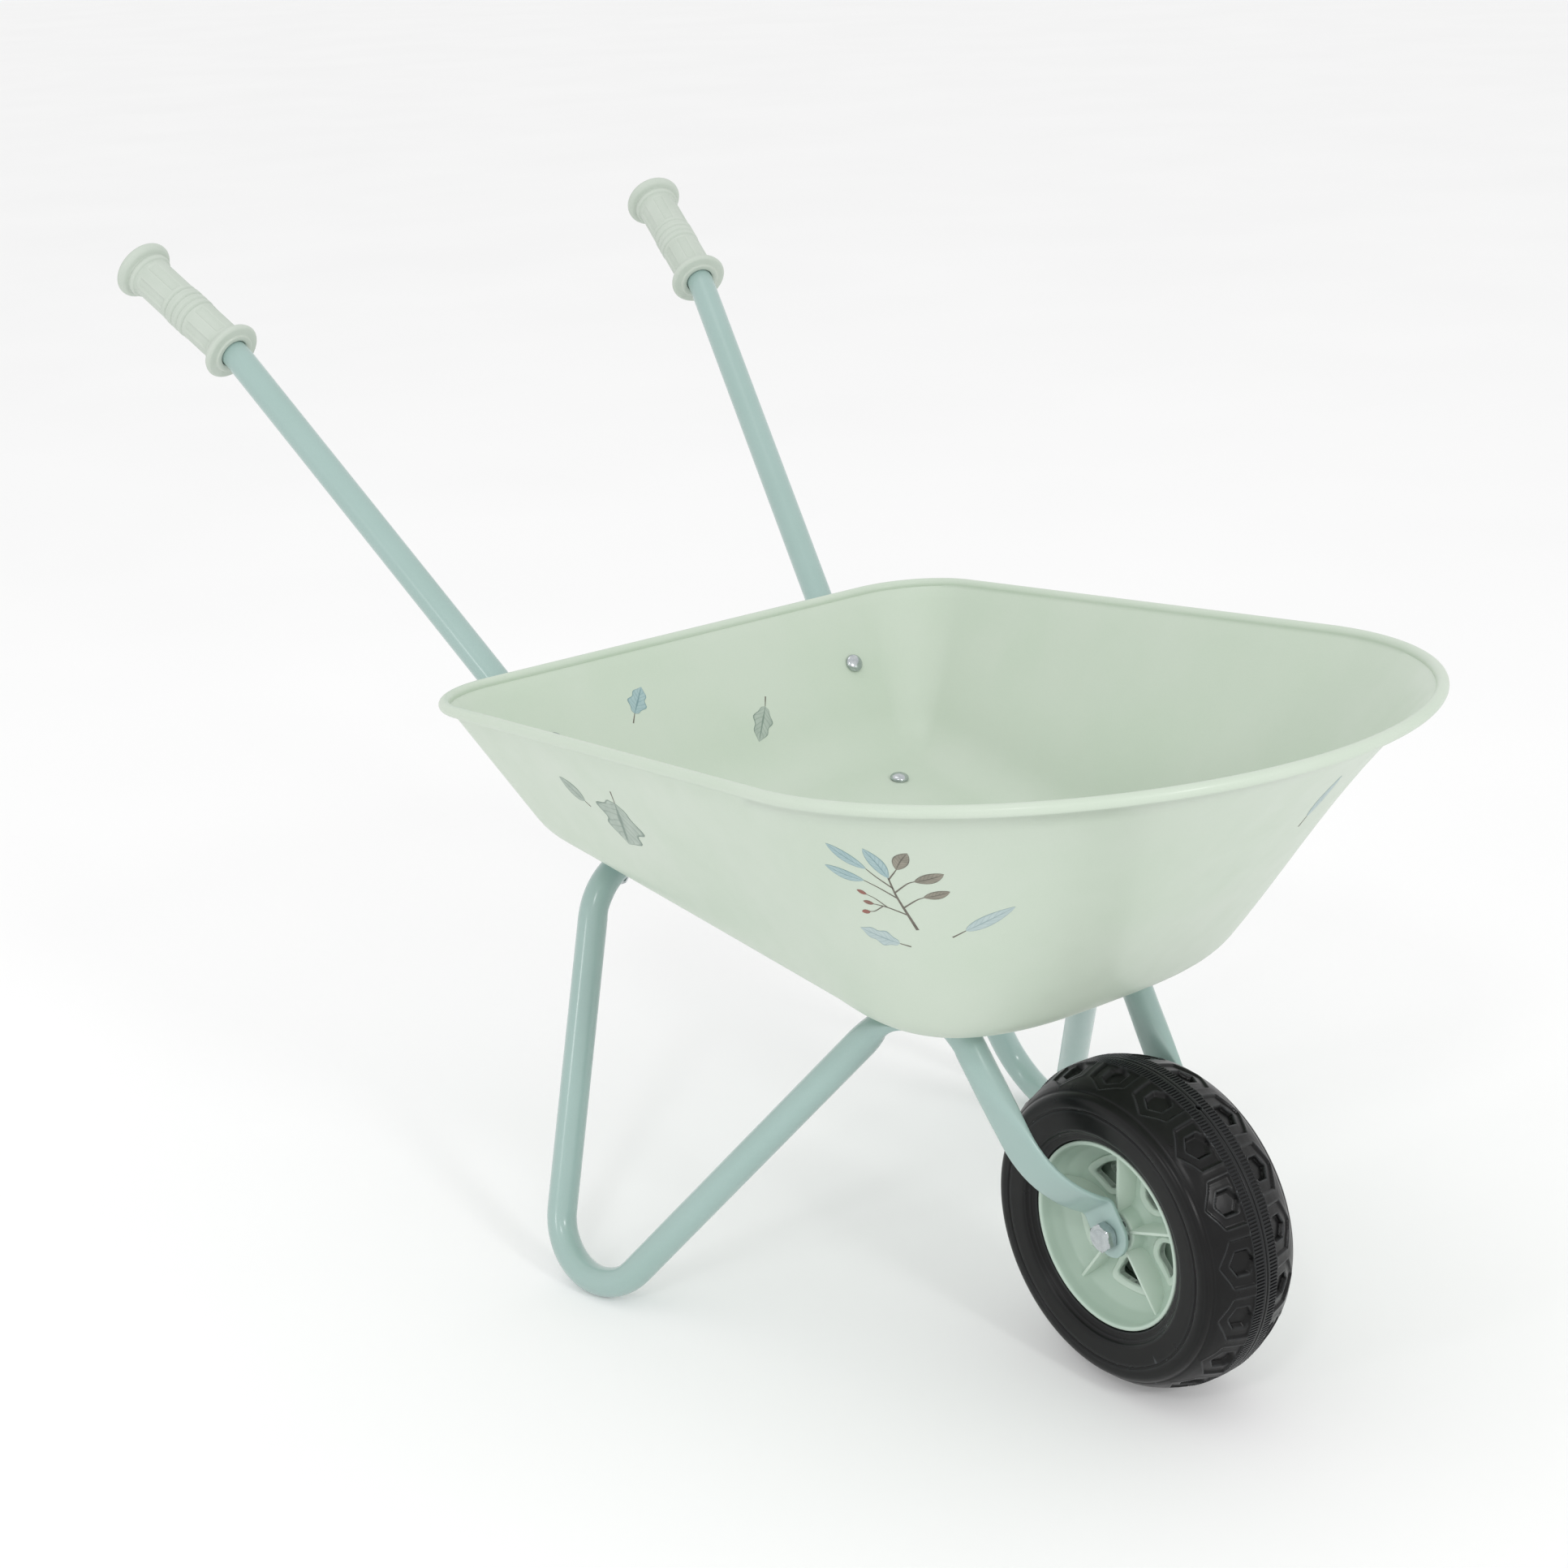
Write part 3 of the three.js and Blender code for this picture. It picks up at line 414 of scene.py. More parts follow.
def zinc():
    """Bright zinc plate with fine turning marks and cloudy passivation."""
    look = Look("zinc_look", metallic=1.0)
    tone = look.clouds(3.5, 4, "C9CED0", "B4BABD")
    stretched = look.add("ShaderNodeMapping", {"Vector": look.place, "Scale": (1, 1, 0.15)})
    scratches = look.noise(0.5, 2, stretched.outputs["Vector"])
    return look.finish(tone, (2.6, 3, 0.12, 0.26), scratches, 0.004, 0.12)


def ink(name, fill, vein, line):
    """Printed leaf ink: a darker outline, a midrib with side veins and watery patches."""
    look = Look(name, specular=0.4)
    across, along, _ = look.marks()
    off_middle = look.calculate("ABSOLUTE", across)
    side_veins = look.calculate("PINGPONG", look.sum(along, off_middle, -0.22), 0.07)
    tone = look.clouds(5, 5, fill, vein)
    tone = look.tint(tone, side_veins, 0, 0.022, 0.55, 0, line)
    tone = look.tint(tone, off_middle, 0.05, 0.12, 0.9, 0, line)
    tone = look.tint(tone, off_middle, 0.84, 0.95, 0, 0.85, line)
    return look.finish(tone, (3, 3, 0.42, 0.55), look.noise(0.7, 2), 0.02, 0.3)


def floor_paint():
    """Plain pale paper that glows a little, so that it stays pale away from the lights."""
    look = Look("floor_look", specular=0.05)
    look.feed(look.shader, {
        "Base Color": look.blend(look.spread(look.noise(400, 2), 0.3, 0.7), "ECECEC", "EAEAEA"),
        "Roughness": look.spread(look.noise(200, 2), 0.3, 0.7, 0.9, 0.96),
        "Emission Color": (1, 1, 1, 1), "Emission Strength": FLOOR_GLOW})
    return look.material


TRAY_LOOK = paint("tray_paint_look", "C5D1C2", "C1CFBE", "D3DBCF", 1.3, 0.25)
TUBE_LOOK = paint("tube_paint_look", "9AB4AF", "96B1AB", "AFC6C1", 0.8, 0.9)
# The third colour of each moulded look is the painted highlight on its edges.
GRIP_LOOK = moulded("grip_plastic_look", "C2CBC1", "BCC6BB", "CFD6CD", 0.5, 0.5)
HUB_LOOK = moulded("hub_plastic_look", "BACDBF", "B5C9BB", "CFDDD1", 0.34, 0.6)
TYRE_LOOK = tyre_plastic()
ZINC_LOOK = zinc()
BLUE_INK = ink("blue_leaf_ink", "A7BEBF", "9BB5B8", "759296")
TAUPE_INK = ink("taupe_leaf_ink", "848175", "959083", "58554B")
GREY_INK = ink("grey_leaf_ink", "A1AFA4", "ADBAAF", "788A7F")
PALE_INK = ink("pale_leaf_ink", "B6C6C5", "AFC0C0", "8EA3A5")
STEM_INK = ink("stem_ink", "656057", "726D63", "534F47")
BERRY_INK = ink("berry_ink", "A16256", "88685D", "694E45")


# ---- tray

FLOOR_NORMAL = Vector((-FLOOR.slope, 0, 1)).normalized()
FLOOR_FORWARD = Vector((1, 0, FLOOR.slope)).normalized()


def floor_point(x, y, below=0.0):
    return Vector((x, y, FLOOR.height + FLOOR.slope * x)) - FLOOR_NORMAL * below


def rim_foot(x, y):
    return Vector((x, y, RIM.height - BEAD_RADIUS + RIM.slope * x))


REAR_EDGE = floor_point(FLOOR.rear_x, 0)
WALL_UP = (rim_foot(RIM.rear_x + INSET_REAR, 0) - REAR_EDGE).normalized()
WALL_INWARD = Vector((WALL_UP.z, 0, -WALL_UP.x))


def closed_outline(spec):
    """A straight rear edge, round corner, straight side and blunt nose, and their mirror image."""
    corner = Vector((spec.rear_x, spec.rear_half))
    side_end = Vector((spec.side_end, spec.side_half))
    to_rear = Vector((0, -1))
    to_side = (side_end - corner).normalized()
    half = acos(to_rear.dot(to_side)) / 2
    reach = spec.corner / tan(half)
    centre = corner + (to_rear + to_side).normalized() * (spec.corner / sin(half))
    spoke = corner + to_rear * reach - centre
    start = atan2(spoke.y, spoke.x)
    sweep = -(pi - 2 * half)
    points = [Vector((spec.rear_x, (corner.y - reach) * k / REAR_STEPS)) for k in range(REAR_STEPS)]
    for k in range(CORNER_STEPS + 1):
        angle = start + sweep * k / CORNER_STEPS
        points.append(centre + Vector((cos(angle), sin(angle))) * spec.corner)
    side_start = points[-1]
    points += [side_start.lerp(side_end, k / SIDE_STEPS) for k in range(1, SIDE_STEPS)]
    power = 2 / spec.power
    for k in range(NOSE_STEPS + 1):
        angle = pi / 2 * k / NOSE_STEPS
        x = lerp(spec.side_end, spec.nose_x, sin(angle) ** power)
        points.append(Vector((x, spec.side_half * max(0.0, cos(angle)) ** power)))
    return points + [Vector((p.x, -p.y)) for p in points[-2:0:-1]]


def inset(spec, rear, rear_half, side_half, nose, corner):
    """The outline drawn inwards by a distance at each place."""
    return closed_outline(spec._replace(
        rear_x=spec.rear_x + rear, rear_half=spec.rear_half - rear_half, corner=corner,
        side_half=spec.side_half - side_half, nose_x=spec.nose_x - nose))


def tray_columns():
    """The outer skin, as columns of points from the floor up to the foot of the rim."""
    foot = closed_outline(FLOOR)
    flat = inset(FLOOR, FILLET_REACH, 1.08 * FILLET_REACH, FILLET_REACH, FILLET_REACH, 10)
    top = inset(RIM, INSET_REAR, INSET_SIDE, INSET_SIDE, INSET_NOSE, RIM.corner - INSET_REAR / 2)
    columns = []
    for i, point in enumerate(foot):
        along = (foot[(i + 1) % len(foot)] - foot[i - 1]).normalized()
        inward = Vector((along.y, -along.x, 0))
        edge = floor_point(point.x, point.y)
        rim_point = rim_foot(top[i].x, top[i].y)
        flat_end = floor_point(flat[i].x, flat[i].y)
        wall_start = edge + (rim_point - edge).normalized() * FILLET_REACH
        nose_share = smoothstep(point.x, FLOOR.side_end - 40, FLOOR.nose_x)
        column = [curve(flat_end, edge, wall_start, k / FILLET_STEPS) for k in range(FILLET_STEPS + 1)]
        for k in range(1, WALL_STEPS + 1):
            t = k / WALL_STEPS
            bow = NOSE_BOW * nose_share * 6.75 * t * t * (1 - t)
            column.append(wall_start.lerp(rim_point, t) + inward * bow)
        columns.append(column)
    return columns


def inner_skin(columns):
    """The outer skin moved inwards by the sheet's thickness."""
    count = len(columns)
    inner = []
    for i, column in enumerate(columns):
        new = []
        for j, point in enumerate(column):
            sideways = columns[(i + 1) % count][j] - columns[i - 1][j]
            upward = column[min(len(column) - 1, j + 1)] - column[max(0, j - 1)]
            normal = FLOOR_NORMAL if j == 0 else sideways.cross(upward).normalized()
            new.append(point + normal * SHEET)
        inner.append(new)
    return inner


def rim_bead(outer, inner, centre):
    """The rolled rim's round outline, from the outer skin's top to the inner skin's."""
    outward = outer - inner
    outward.z = 0
    outward.normalize()
    ring = []
    for k in range(BEAD_STEPS + 1):
        angle = radians(lerp(200, -80, k / BEAD_STEPS))
        ring.append(centre + outward * (BEAD_RADIUS * cos(angle)) + UP * (BEAD_RADIUS * sin(angle)))
    return ring


def make_tray():
    outer = tray_columns()
    inner = inner_skin(outer)
    bead = closed_outline(RIM)
    middle = floor_point((FLOOR.rear_x + FLOOR.nose_x) / 2, 0)
    columns = []
    for i, column in enumerate(outer):
        centre = Vector((bead[i].x, bead[i].y, RIM.height + RIM.slope * bead[i].x))
        inside = middle + FLOOR_NORMAL * SHEET
        floor_in = [inside.lerp(inner[i][0], k / 8) for k in range(8)]
        floor_out = [column[0].lerp(middle, k / 8) for k in range(1, 9)]
        columns.append(floor_in + inner[i] + rim_bead(column[-1], inner[i][-1], centre)
                       + column[::-1] + floor_out)
    shell = Shell()
    shell.loft([[column[j] for column in columns] for j in range(len(columns[0]))], caps=False)
    shell.make("tray_shell", TRAY_LOOK, "tray_paint", "frame", ["tray"], sharp=60)
    return shell


# ---- bent tubes

# A place on a tube's centre line and, in a bend, where its inside is and how far it is pressed.
Station = namedtuple("Station", "point tangent inside pinch", defaults=(None, 0.0))


def run_to(stations, point):
    """Adds the rings of a straight run up to, but not at, a point."""
    start = stations[-1].point
    run = point - start
    count = max(1, ceil(run.length / STRAIGHT_STEP))
    stations += [Station(start.lerp(point, k / count), run.normalized()) for k in range(1, count)]


def bend_pinch(t, radius):
    """A tight bend is ovalled, most of all near its ends, where the former lets go."""
    if not 19 < radius < 41:
        return 0.0
    depth = KNEE_PINCH if radius == KNEE_RADIUS else PINCH
    ends = exp(-((t - 0.12) / 0.1) ** 2) + exp(-((t - 0.88) / 0.1) ** 2)
    return depth * (0.5 * sin(pi * t) + 0.5 * ends) * smoothstep(min(t, 1 - t), -0.02, 0.08)


def bend_line(corners, radii):
    """Rounds each inner corner of a broken line with its own bend radius."""
    stations = [Station(corners[0], (corners[1] - corners[0]).normalized())]
    for before, corner, after, radius in zip(corners, corners[1:], corners[2:], radii[1:]):
        into = (corner - before).normalized()
        out = (after - corner).normalized()
        turn = into.angle(out)
        axis = into.cross(out).normalized()
        start = corner - into * (radius * tan(turn / 2))
        centre = start + axis.cross(into) * radius
        run_to(stations, start)
        steps = max(3, ceil(degrees(turn) / ARC_STEP))
        for k in range(steps + 1):
            rotation = Matrix.Rotation(turn * k / steps, 3, axis)
            point = centre + rotation @ (start - centre)
            inside = (centre - point).normalized()
            stations.append(Station(point, rotation @ into, inside, bend_pinch(k / steps, radius)))
    run_to(stations, corners[-1])
    stations.append(Station(corners[-1], (corners[-1] - corners[-2]).normalized()))
    return stations


def tube_ring(station, wide, pressed, run, flatten, hole_run):
    """The tube's outline at a station: a circle, or the slot of a pressed end; run is how far along."""
    across, through = square_to(station.tangent, wide)
    flat, left = 0.0, 1.0
    if pressed:
        flat = smoothstep(run, *flatten)
        left = sqrt(max(0.002, 1 - (max(0.0, run - hole_run) / FLAT_HALF_WIDTH) ** 2))
    half_width = lerp(TUBE_RADIUS, FLAT_HALF_WIDTH, flat) * left
    half_thickness = lerp(TUBE_RADIUS, FLAT_HALF_THICKNESS, flat)
    power = 2 / lerp(2, 4.5, flat)
    ring = []
    for angle in around(TUBE_SIDES):
        c, s = cos(angle), sin(angle)
        x = half_width * copysign(abs(c) ** power, c)
        y = half_thickness * copysign(abs(s) ** power, s)
        offset = across * x + through * y
        if station.pinch:
            facing = max(0.0, offset.dot(station.inside) / TUBE_RADIUS)
            offset -= station.inside * (station.pinch * facing ** 2)
        ring.append(station.point + offset)
    return ring


def end_rings(stations):
    """Extra rings towards the last station, close together for the round end of a lug."""
    end = stations.pop()
    while (stations[-1].point - end.point).length < FLAT_HALF_WIDTH:
        stations.pop()
    for distance in (11.7, 10.4, 9, 7.6, 6.2, 4.8, 3.5, 2.4, 1.5, 0.8, 0.3, 0):
        stations.append(Station(end.point - end.tangent * distance, end.tangent))


# ---- rails

FORK_DOWN = Vector((-FORK_KNEE.x, 0, WHEEL_RADIUS - FORK_KNEE.z)).normalized()
FORK_WIDE = Vector((-FORK_DOWN.z, 0, FORK_DOWN.x))
AXLE = Vector((0, 0, WHEEL_RADIUS))
ACROSS = Vector((0, -1, 0))


def rail_plan_y(x):
    return RAIL_PLAN_Y + RAIL_PLAN_SLOPE * (x - RAIL_PLAN_X)


def fork_point(run, y):
    """A point of the fork: run is measured along it from the axle, negative above."""
    return Vector((0, y, WHEEL_RADIUS)) + FORK_DOWN * run


def crossing(a, a_dir, b, b_dir):
    """Where two lines of the side view cross."""
    det = a_dir.x * b_dir.z - a_dir.z * b_dir.x
    t = ((b.x - a.x) * b_dir.z - (b.z - a.z) * b_dir.x) / det
    return a + a_dir * t


HANDLE_DIR = Vector((1, RAIL_PLAN_SLOPE, HANDLE_SLOPE)).normalized()
HANDLE_TOP = HANDLE_START + Vector((0, rail_plan_y(HANDLE_START.x), 0))
GRIP_BEND = HANDLE_TOP + HANDLE_DIR * BEND_TO_GRIP
GRIP_AXIS = (GRIP_FLANGE - GRIP_BEND).normalized()


def rail_corners():
    """The corners of the left rail's centre line, from inside the grip to the lug at the axle."""
    side_handle = Vector((1, 0, HANDLE_SLOPE)).normalized()
    wall_line = REAR_EDGE - WALL_INWARD * RAIL_OFFSET
    wall_bend = crossing(HANDLE_START, side_handle, wall_line, WALL_UP)
    under_bend = crossing(wall_line, WALL_UP, floor_point(0, 0, RAIL_OFFSET), FLOOR_FORWARD)
    wall_bend.y = rail_plan_y(wall_bend.x)
    under_bend.y = rail_plan_y(under_bend.x)
    plan_bend = floor_point(RAIL_PLAN_BEND_X, rail_plan_y(RAIL_PLAN_BEND_X), RAIL_OFFSET)
    arc_tangent = FORK_ARC_RADIUS * tan((FORK_ARC_ANGLE - FORK_TOE_IN) / 2)
    knee_run = (FORK_KNEE - AXLE).dot(FORK_DOWN)
    slope_y = (FORK_ARC_Y - FORK_KNEE.y) / (FORK_ARC_START - knee_run)
    sweep_run = FORK_ARC_START + arc_tangent
    sweep_y = FORK_ARC_Y + slope_y * arc_tangent
    lug_run = sweep_run + (sweep_y - LUG_CENTRE_Y) / tan(FORK_ARC_ANGLE)
    return [
        GRIP_BEND + GRIP_AXIS * TUBE_IN_GRIP, GRIP_BEND, wall_bend, under_bend, plan_bend, FORK_KNEE,
        fork_point(sweep_run, sweep_y), fork_point(lug_run, LUG_CENTRE_Y),
        fork_point(FLAT_HALF_WIDTH, LUG_CENTRE_Y),
    ]


def make_rails():
    stations = bend_line(rail_corners(), RAIL_BEND_RADII)
    end_rings(stations)
    rings = []
    for station in stations:
        run = (station.point - AXLE).dot(FORK_DOWN)
        on_fork = station.point.x > FORK_KNEE.x + 5 and run > FORK_FLATTEN[0]
        rings.append(tube_ring(station, FORK_WIDE, on_fork, run, FORK_FLATTEN, 0))
    for hand, side in SIDES:
        shell = Shell()
        shell.loft([[sided(p, side) for p in ring] for ring in rings])
        shell.make(f"rail_tube_{hand}", TUBE_LOOK, "tube_paint", "frame", [f"rail_{hand}"], sharp=50)


# ---- leg frame

def leg_corners():
    """Half of the leg tube's corners, from its front lug to the crossbar, its bolt and its lug's way."""
    flat_below = RAIL_OFFSET + TUBE_RADIUS + GAP + FLAT_HALF_THICKNESS
    depth = (floor_point(0, 0, flat_below) - FOOT).dot(FLOOR_NORMAL) / FRONT_LEG_DIR.dot(FLOOR_NORMAL)
    knee = FOOT + FRONT_LEG_DIR * depth
    start_y = rail_plan_y(RAIL_PLAN_BEND_X)
    share = (FRONT_BOLT_X - RAIL_PLAN_BEND_X) / (FORK_KNEE.x - RAIL_PLAN_BEND_X)
    bolt = floor_point(FRONT_BOLT_X, lerp(start_y, FORK_KNEE.y, share), flat_below)
    lug_dir = (bolt - knee).normalized()
    rise = (CROSSBAR_Z - FOOT.z) / REAR_LEG_DIR.z
    return [bolt + lug_dir * FLAT_HALF_WIDTH, knee, FOOT, FOOT + REAR_LEG_DIR * rise], bolt, lug_dir


def make_leg_frame():
    half, bolt, lug_dir = leg_corners()
    knee = half[1]
    corners = half + [sided(p, -1) for p in half[::-1]]
    stations = bend_line(corners, LEG_RADII)
    end_rings(stations)
    stations = [s._replace(tangent=-s.tangent) for s in stations[::-1]]
    end_rings(stations)
    wide = FLOOR_NORMAL.cross(lug_dir)
    rings = []
    for station in stations:
        side = 1 if station.point.y > 0 else -1
        point = sided(station.point, side)
        run = (point - knee).dot(lug_dir)
        pressed = (point - knee).length < LUG_LENGTH and point.x > LUG_REAR_X
        rings.append(tube_ring(station, sided(wide, side), pressed, run, LEG_FLATTEN, (bolt - knee).length))
    shell = Shell()
    shell.loft(rings)
    shell.make("leg_tube", TUBE_LOOK, "tube_paint", "frame", ["leg_frame"], sharp=50)


# ---- grips

GRIP_START = 2.2
GRIP_SIDES = 144
GRIP_BORE = TUBE_RADIUS + GAP
GRIP_PROFILE = [
    (0, 73.2), (GRIP_BORE, 73.2), (GRIP_BORE, 0.6), (9.6, 0.1), (11.6, 0.1), (12.1, 1.0), (14.4, 1.2),
    (16.4, 1.5), (17.4, 3.0), (16.6, 5.4), (13.2, 6.9), (12, 8.6), (12, 76.4), (13.2, 76.9), (13.8, 78),
    (13.6, 79.6), (12.9, 80.2), (13.4, 80.8), (16.0, 81.6), (17.4, 83.4), (17.4, 85.4), (16.4, 86.8),
    (15.2, 87.1), (12.5, 88.6), (7, 89.7), (0, 90),
]
GRIP_GROOVES = (33.8, 38.2, 42.9, 48.6)
FLUTE_SPANS = ((11.0, 30.5), (52.0, 73.5))
FLUTE_COUNT = 6


def grip_radius(angle, r, h):
    """The body's grooves and shallow flutes, pressed into the turned profile."""
    if not 9 < h < 76 or r < 11:
        return r
    for groove in GRIP_GROOVES:
        r -= 0.75 * exp(-((h - groove) / 0.62) ** 2)
    if GRIP_GROOVES[0] < h < GRIP_GROOVES[-1]:
        r += 0.35 * min(1.0, min(h - GRIP_GROOVES[0], GRIP_GROOVES[-1] - h) / 1.2)
    turn = angle * FLUTE_COUNT / (2 * pi) % 1.0
    off_centre = abs(turn - 0.5) * 360 / FLUTE_COUNT
    across = 1 - smoothstep(off_centre, 11.5, 14.5)
    for low, high in FLUTE_SPANS:
        along = smoothstep(h, low - 0.9, low + 0.7) * (1 - smoothstep(h, high - 0.7, high + 0.9))
        r -= 0.85 * across * along
    return r


def make_grips():
    line = rounded(GRIP_PROFILE, 1.1, 3)
    line = resampled(line, lambda p: 0.62 if 9 < p.y < 76 and p.x > 11 else 3.0)
    for hand, side in SIDES:
        seat = sided(GRIP_BEND + GRIP_AXIS * GRIP_START, side)
        shell = Shell()
        shell.turned(line, seat, sided(GRIP_AXIS, side), GRIP_SIDES, grip_radius)
        shell.make(f"grip_sleeve_{hand}", GRIP_LOOK, "grip_plastic", "frame", [f"grip_{hand}"], sharp=45)


# ---- tyre

HEX_COUNT = 17
HEX_PHASE = {-1: radians(30.7), 1: radians(37.0)}
HEX_CENTRE = 11.7
HEX_RADIUS = 12
POCKET_RADIUS = 6.2
TYRE_SIDES = HEX_COUNT * 48
RIB_BARS = 288
VENT_ANGLE = radians(63.3)
TREAD_START = 73.5
TYRE_HALF = [
    (47.9, 20), (47.9, 24.4), (48.4, 25.6), (51.2, 26.0), (51.8, 26.9), (52.9, 27.2), (53.5, 28.6),
    (54.6, 29.2), (63.7, 29.6), (64.2, 29.0), (64.9, 29.0), (65.5, 29.7), (68.2, 29.8), (70.3, 29.3),
    (71.7, 28.2), (72.4, 27.0), (72.6, 26.0), (73.6, 25.6), (75.2, 23.8), (77.3, 20), (78.9, 16),
    (80.2, 12), (81.3, 8), (81.7, 6.9), (81.2, 6.5), (81.3, 2.2), (82, 1.7), (82, 0.5), (81.5, 0.3),
    (81.5, 0),
]


def wheel_point(radius, angle, y):
    """A point at a radius and an angle round the axle."""
    return Vector((radius * cos(angle), y, WHEEL_RADIUS + radius * sin(angle)))


def hex_distance(x, y, radius):
    """Distance past the flats of a hexagon with corners on the y axis, negative inside."""
    x, y = abs(x) / radius, abs(y) / radius
    return (max(x, x * 0.5 + y * 0.866) - 0.866) * radius


def tread_depth(angle, y):
    """How far the tread is pressed in at a place: a hexagon with a lip, and a deeper one within."""
    side = 1 if y > 0 else -1
    pitch = 2 * pi / HEX_COUNT
    turn = (angle - HEX_PHASE[side] + pitch / 2) % pitch - pitch / 2
    x = turn * 80
    reach = abs(y)
    if reach < 6.6 or reach > 26:
        return 0.0
    big = hex_distance(x / 1.15, reach - HEX_CENTRE, HEX_RADIUS)
    small = hex_distance(x / 1.1, reach - 12.4, POCKET_RADIUS)
    depth = 1.1 * (1 - smoothstep(big, -0.85, 0.15))
    depth -= 0.16 * exp(-((big - 0.55) / 0.6) ** 2)
    depth += 2.3 * (1 - smoothstep(small, -1.0, 0.3))
    depth -= 0.12 * exp(-((small - 0.8) / 0.6) ** 2)
    return depth * smoothstep(reach, 6.6, 7.6)


def tyre_rings():
    half = rounded(TYRE_HALF, 0.9, 2)
    half = resampled(half, lambda p: 0.74 if p.x > TREAD_START and p.y > 6.8 else 2.5)
    profile = [(p.x, p.y) for p in half] + [(p.x, -p.y) for p in half[-2::-1]]
    rings = []
    for r, y in profile:
        ring = []
        for angle in around(TYRE_SIDES):
            depth = tread_depth(angle, y) if r > TREAD_START else 0.0
            vent = hypot((angle - VENT_ANGLE) * WHEEL_RADIUS, y)
            depth += 2.5 * (1 - smoothstep(vent, 0.7, 1.5))
            ring.append(wheel_point(r - depth, angle, y))
        rings.append(ring)
    return rings


def add_rib_bars(shell):
    """The two rows of small teeth beside the seam, each a low bar with sloping sides."""
    faces = [[0, 1, 2, 3], [7, 6, 5, 4], [0, 4, 5, 1], [1, 5, 6, 2], [2, 6, 7, 3], [3, 7, 4, 0]]
    for side in (-1, 1):
        for k in range(RIB_BARS):
            angle = 2 * pi * (k + 0.25 * side) / RIB_BARS
            points = []
            for radius, half_width, low, high in ((80.6, 0.62, 1.5, 7.2), (81.95, 0.4, 1.6, 6.8)):
                for y, turn in ((low, -1), (low, 1), (high, 1), (high, -1)):
                    drop = 0.25 if y > 4 and radius > 81 else 0.0
                    aside = turn * half_width / WHEEL_RADIUS
                    points.append(wheel_point(radius - drop, angle + aside, side * y))
            # A tooth's first mark of 1 holds the tyre's painted edge highlight off it.
            shell.add(points, faces, [(1.0, 0.0, 0.0)] * len(points))


def make_tyre():
    shell = Shell()
    shell.loft(tyre_rings(), loop=True)
    add_rib_bars(shell)
    shell.make("tyre_shell", TYRE_LOOK, "tyre_plastic", "wheel", ["tyre"], sharp=38)


# ---- hub

HUB_SIDES = 120
RIB_COUNT = 5
RIB_ANGLE = radians(18)
HUB_PROFILE = [
    (6.3, 17), (10.6, 17), (11.4, 9), (14.5, 6.2), (28, 5), (36, 7.6), (42, 13.6), (44.6, 20), (45.2, 24.2),
    (45.8, 25.3), (47.5, 25.3), (47.6, 20.5), (47.6, 0.2), (46.2, 0.2), (46.2, 13.4), (44.6, 12.2), (38, 5),
    (29, 2.6), (13, 2.6), (11, 0.2), (6.3, 0.2),
]
DISH_FACE = HUB_PROFILE[3:8]
WINDOW_LOW, WINDOW_HIGH, WINDOW_SPREAD, WINDOW_CORNER = 19, 32.3, radians(20.5), 3.2
WINDOW_TOP_CORNER = 6.5


def dish_height(r):
    """How far the dish's face stands from the middle at a radius."""
    return float(np.interp(r, *zip(*DISH_FACE)))


def window_outline(angle, grow):
    """A rounded wedge between two ribs, as (x, z) points; grow moves its edge outwards."""
    low, high = WINDOW_LOW - grow, WINDOW_HIGH + grow
    wide = WINDOW_SPREAD * high + grow
    narrow = WINDOW_SPREAD * 0.62 * low + grow
    far = high * cos(WINDOW_SPREAD * 0.9)
    corners = [(low, -narrow), (far, -wide * 0.93), (high, 0), (far, wide * 0.93), (low, narrow)]
    corners = [Vector(p) for p in corners]
    points = []
    for i, corner in enumerate(corners):
        reach = WINDOW_CORNER + grow if i != 2 else WINDOW_TOP_CORNER
        points += fillet(corners[i - 1], corner, corners[(i + 1) % 5], reach, 0.49, 5)
    c, s = cos(angle), sin(angle)
    return [(p.x * c - p.y * s, p.x * s + p.y * c) for p in points]


def hub_point(x, y, z, side):
    return Vector((x, side * y, WHEEL_RADIUS + z))


def cut_windows(dish_shell, cutter_shell):
    """The dish with the window prisms taken out, as new points and faces."""
    dish = placed("dish", dish_shell.mesh("dish"))
    cutter = placed("cutter", cutter_shell.mesh("cutter"))
    modifier = dish.modifiers.new("windows", "BOOLEAN")
    modifier.operation = "DIFFERENCE"
    modifier.solver = "EXACT"
    modifier.object = cutter
    seen = dish.evaluated_get(bpy.context.evaluated_depsgraph_get()).to_mesh()
    points = [local(v.co) for v in seen.vertices]
    faces = [list(p.vertices) for p in seen.polygons]
    for piece in (dish, cutter):
        bpy.data.objects.remove(piece)
    return points, faces


def add_rib(shell, angle, side):
    """A thin upright rib from the boss to the dish wall, thinner and rounded at its top edge."""
    rings = []
    along = Vector((cos(angle), 0, sin(angle)))
    across = Vector((-sin(angle), 0, cos(angle)))
    for r in (9.5, 14, 20, 26, 32, 38, 44.9):
        top = lerp(17.6, 16.6, (r - 9.5) / 35)
        low = min(dish_height(r) - 1.6, top - 3)
        ring = []
        section = ((-1.35, low), (-0.95, top - 0.6), (-0.6, top - 0.1),
                   (0.6, top - 0.1), (0.95, top - 0.6), (1.35, low))
        for half, y in section:
            centre = along * r + across * half
            ring.append(hub_point(centre.x, y, centre.z, side))
        rings.append(ring)
    shell.loft(rings)


def add_border(shell, angle, side):
    """The raised rim round a window."""
    rings = []
    for grow, rise in ((0.0, -2.6), (0.0, 0.9), (0.4, 1.4), (2.7, 1.6), (3.2, 1.2), (3.4, -1.2)):
        edge = window_outline(angle, grow)
        rings.append([hub_point(x, dish_height(hypot(x, z)) + rise, z, side) for x, z in edge])
    shell.loft(rings, loop=True)


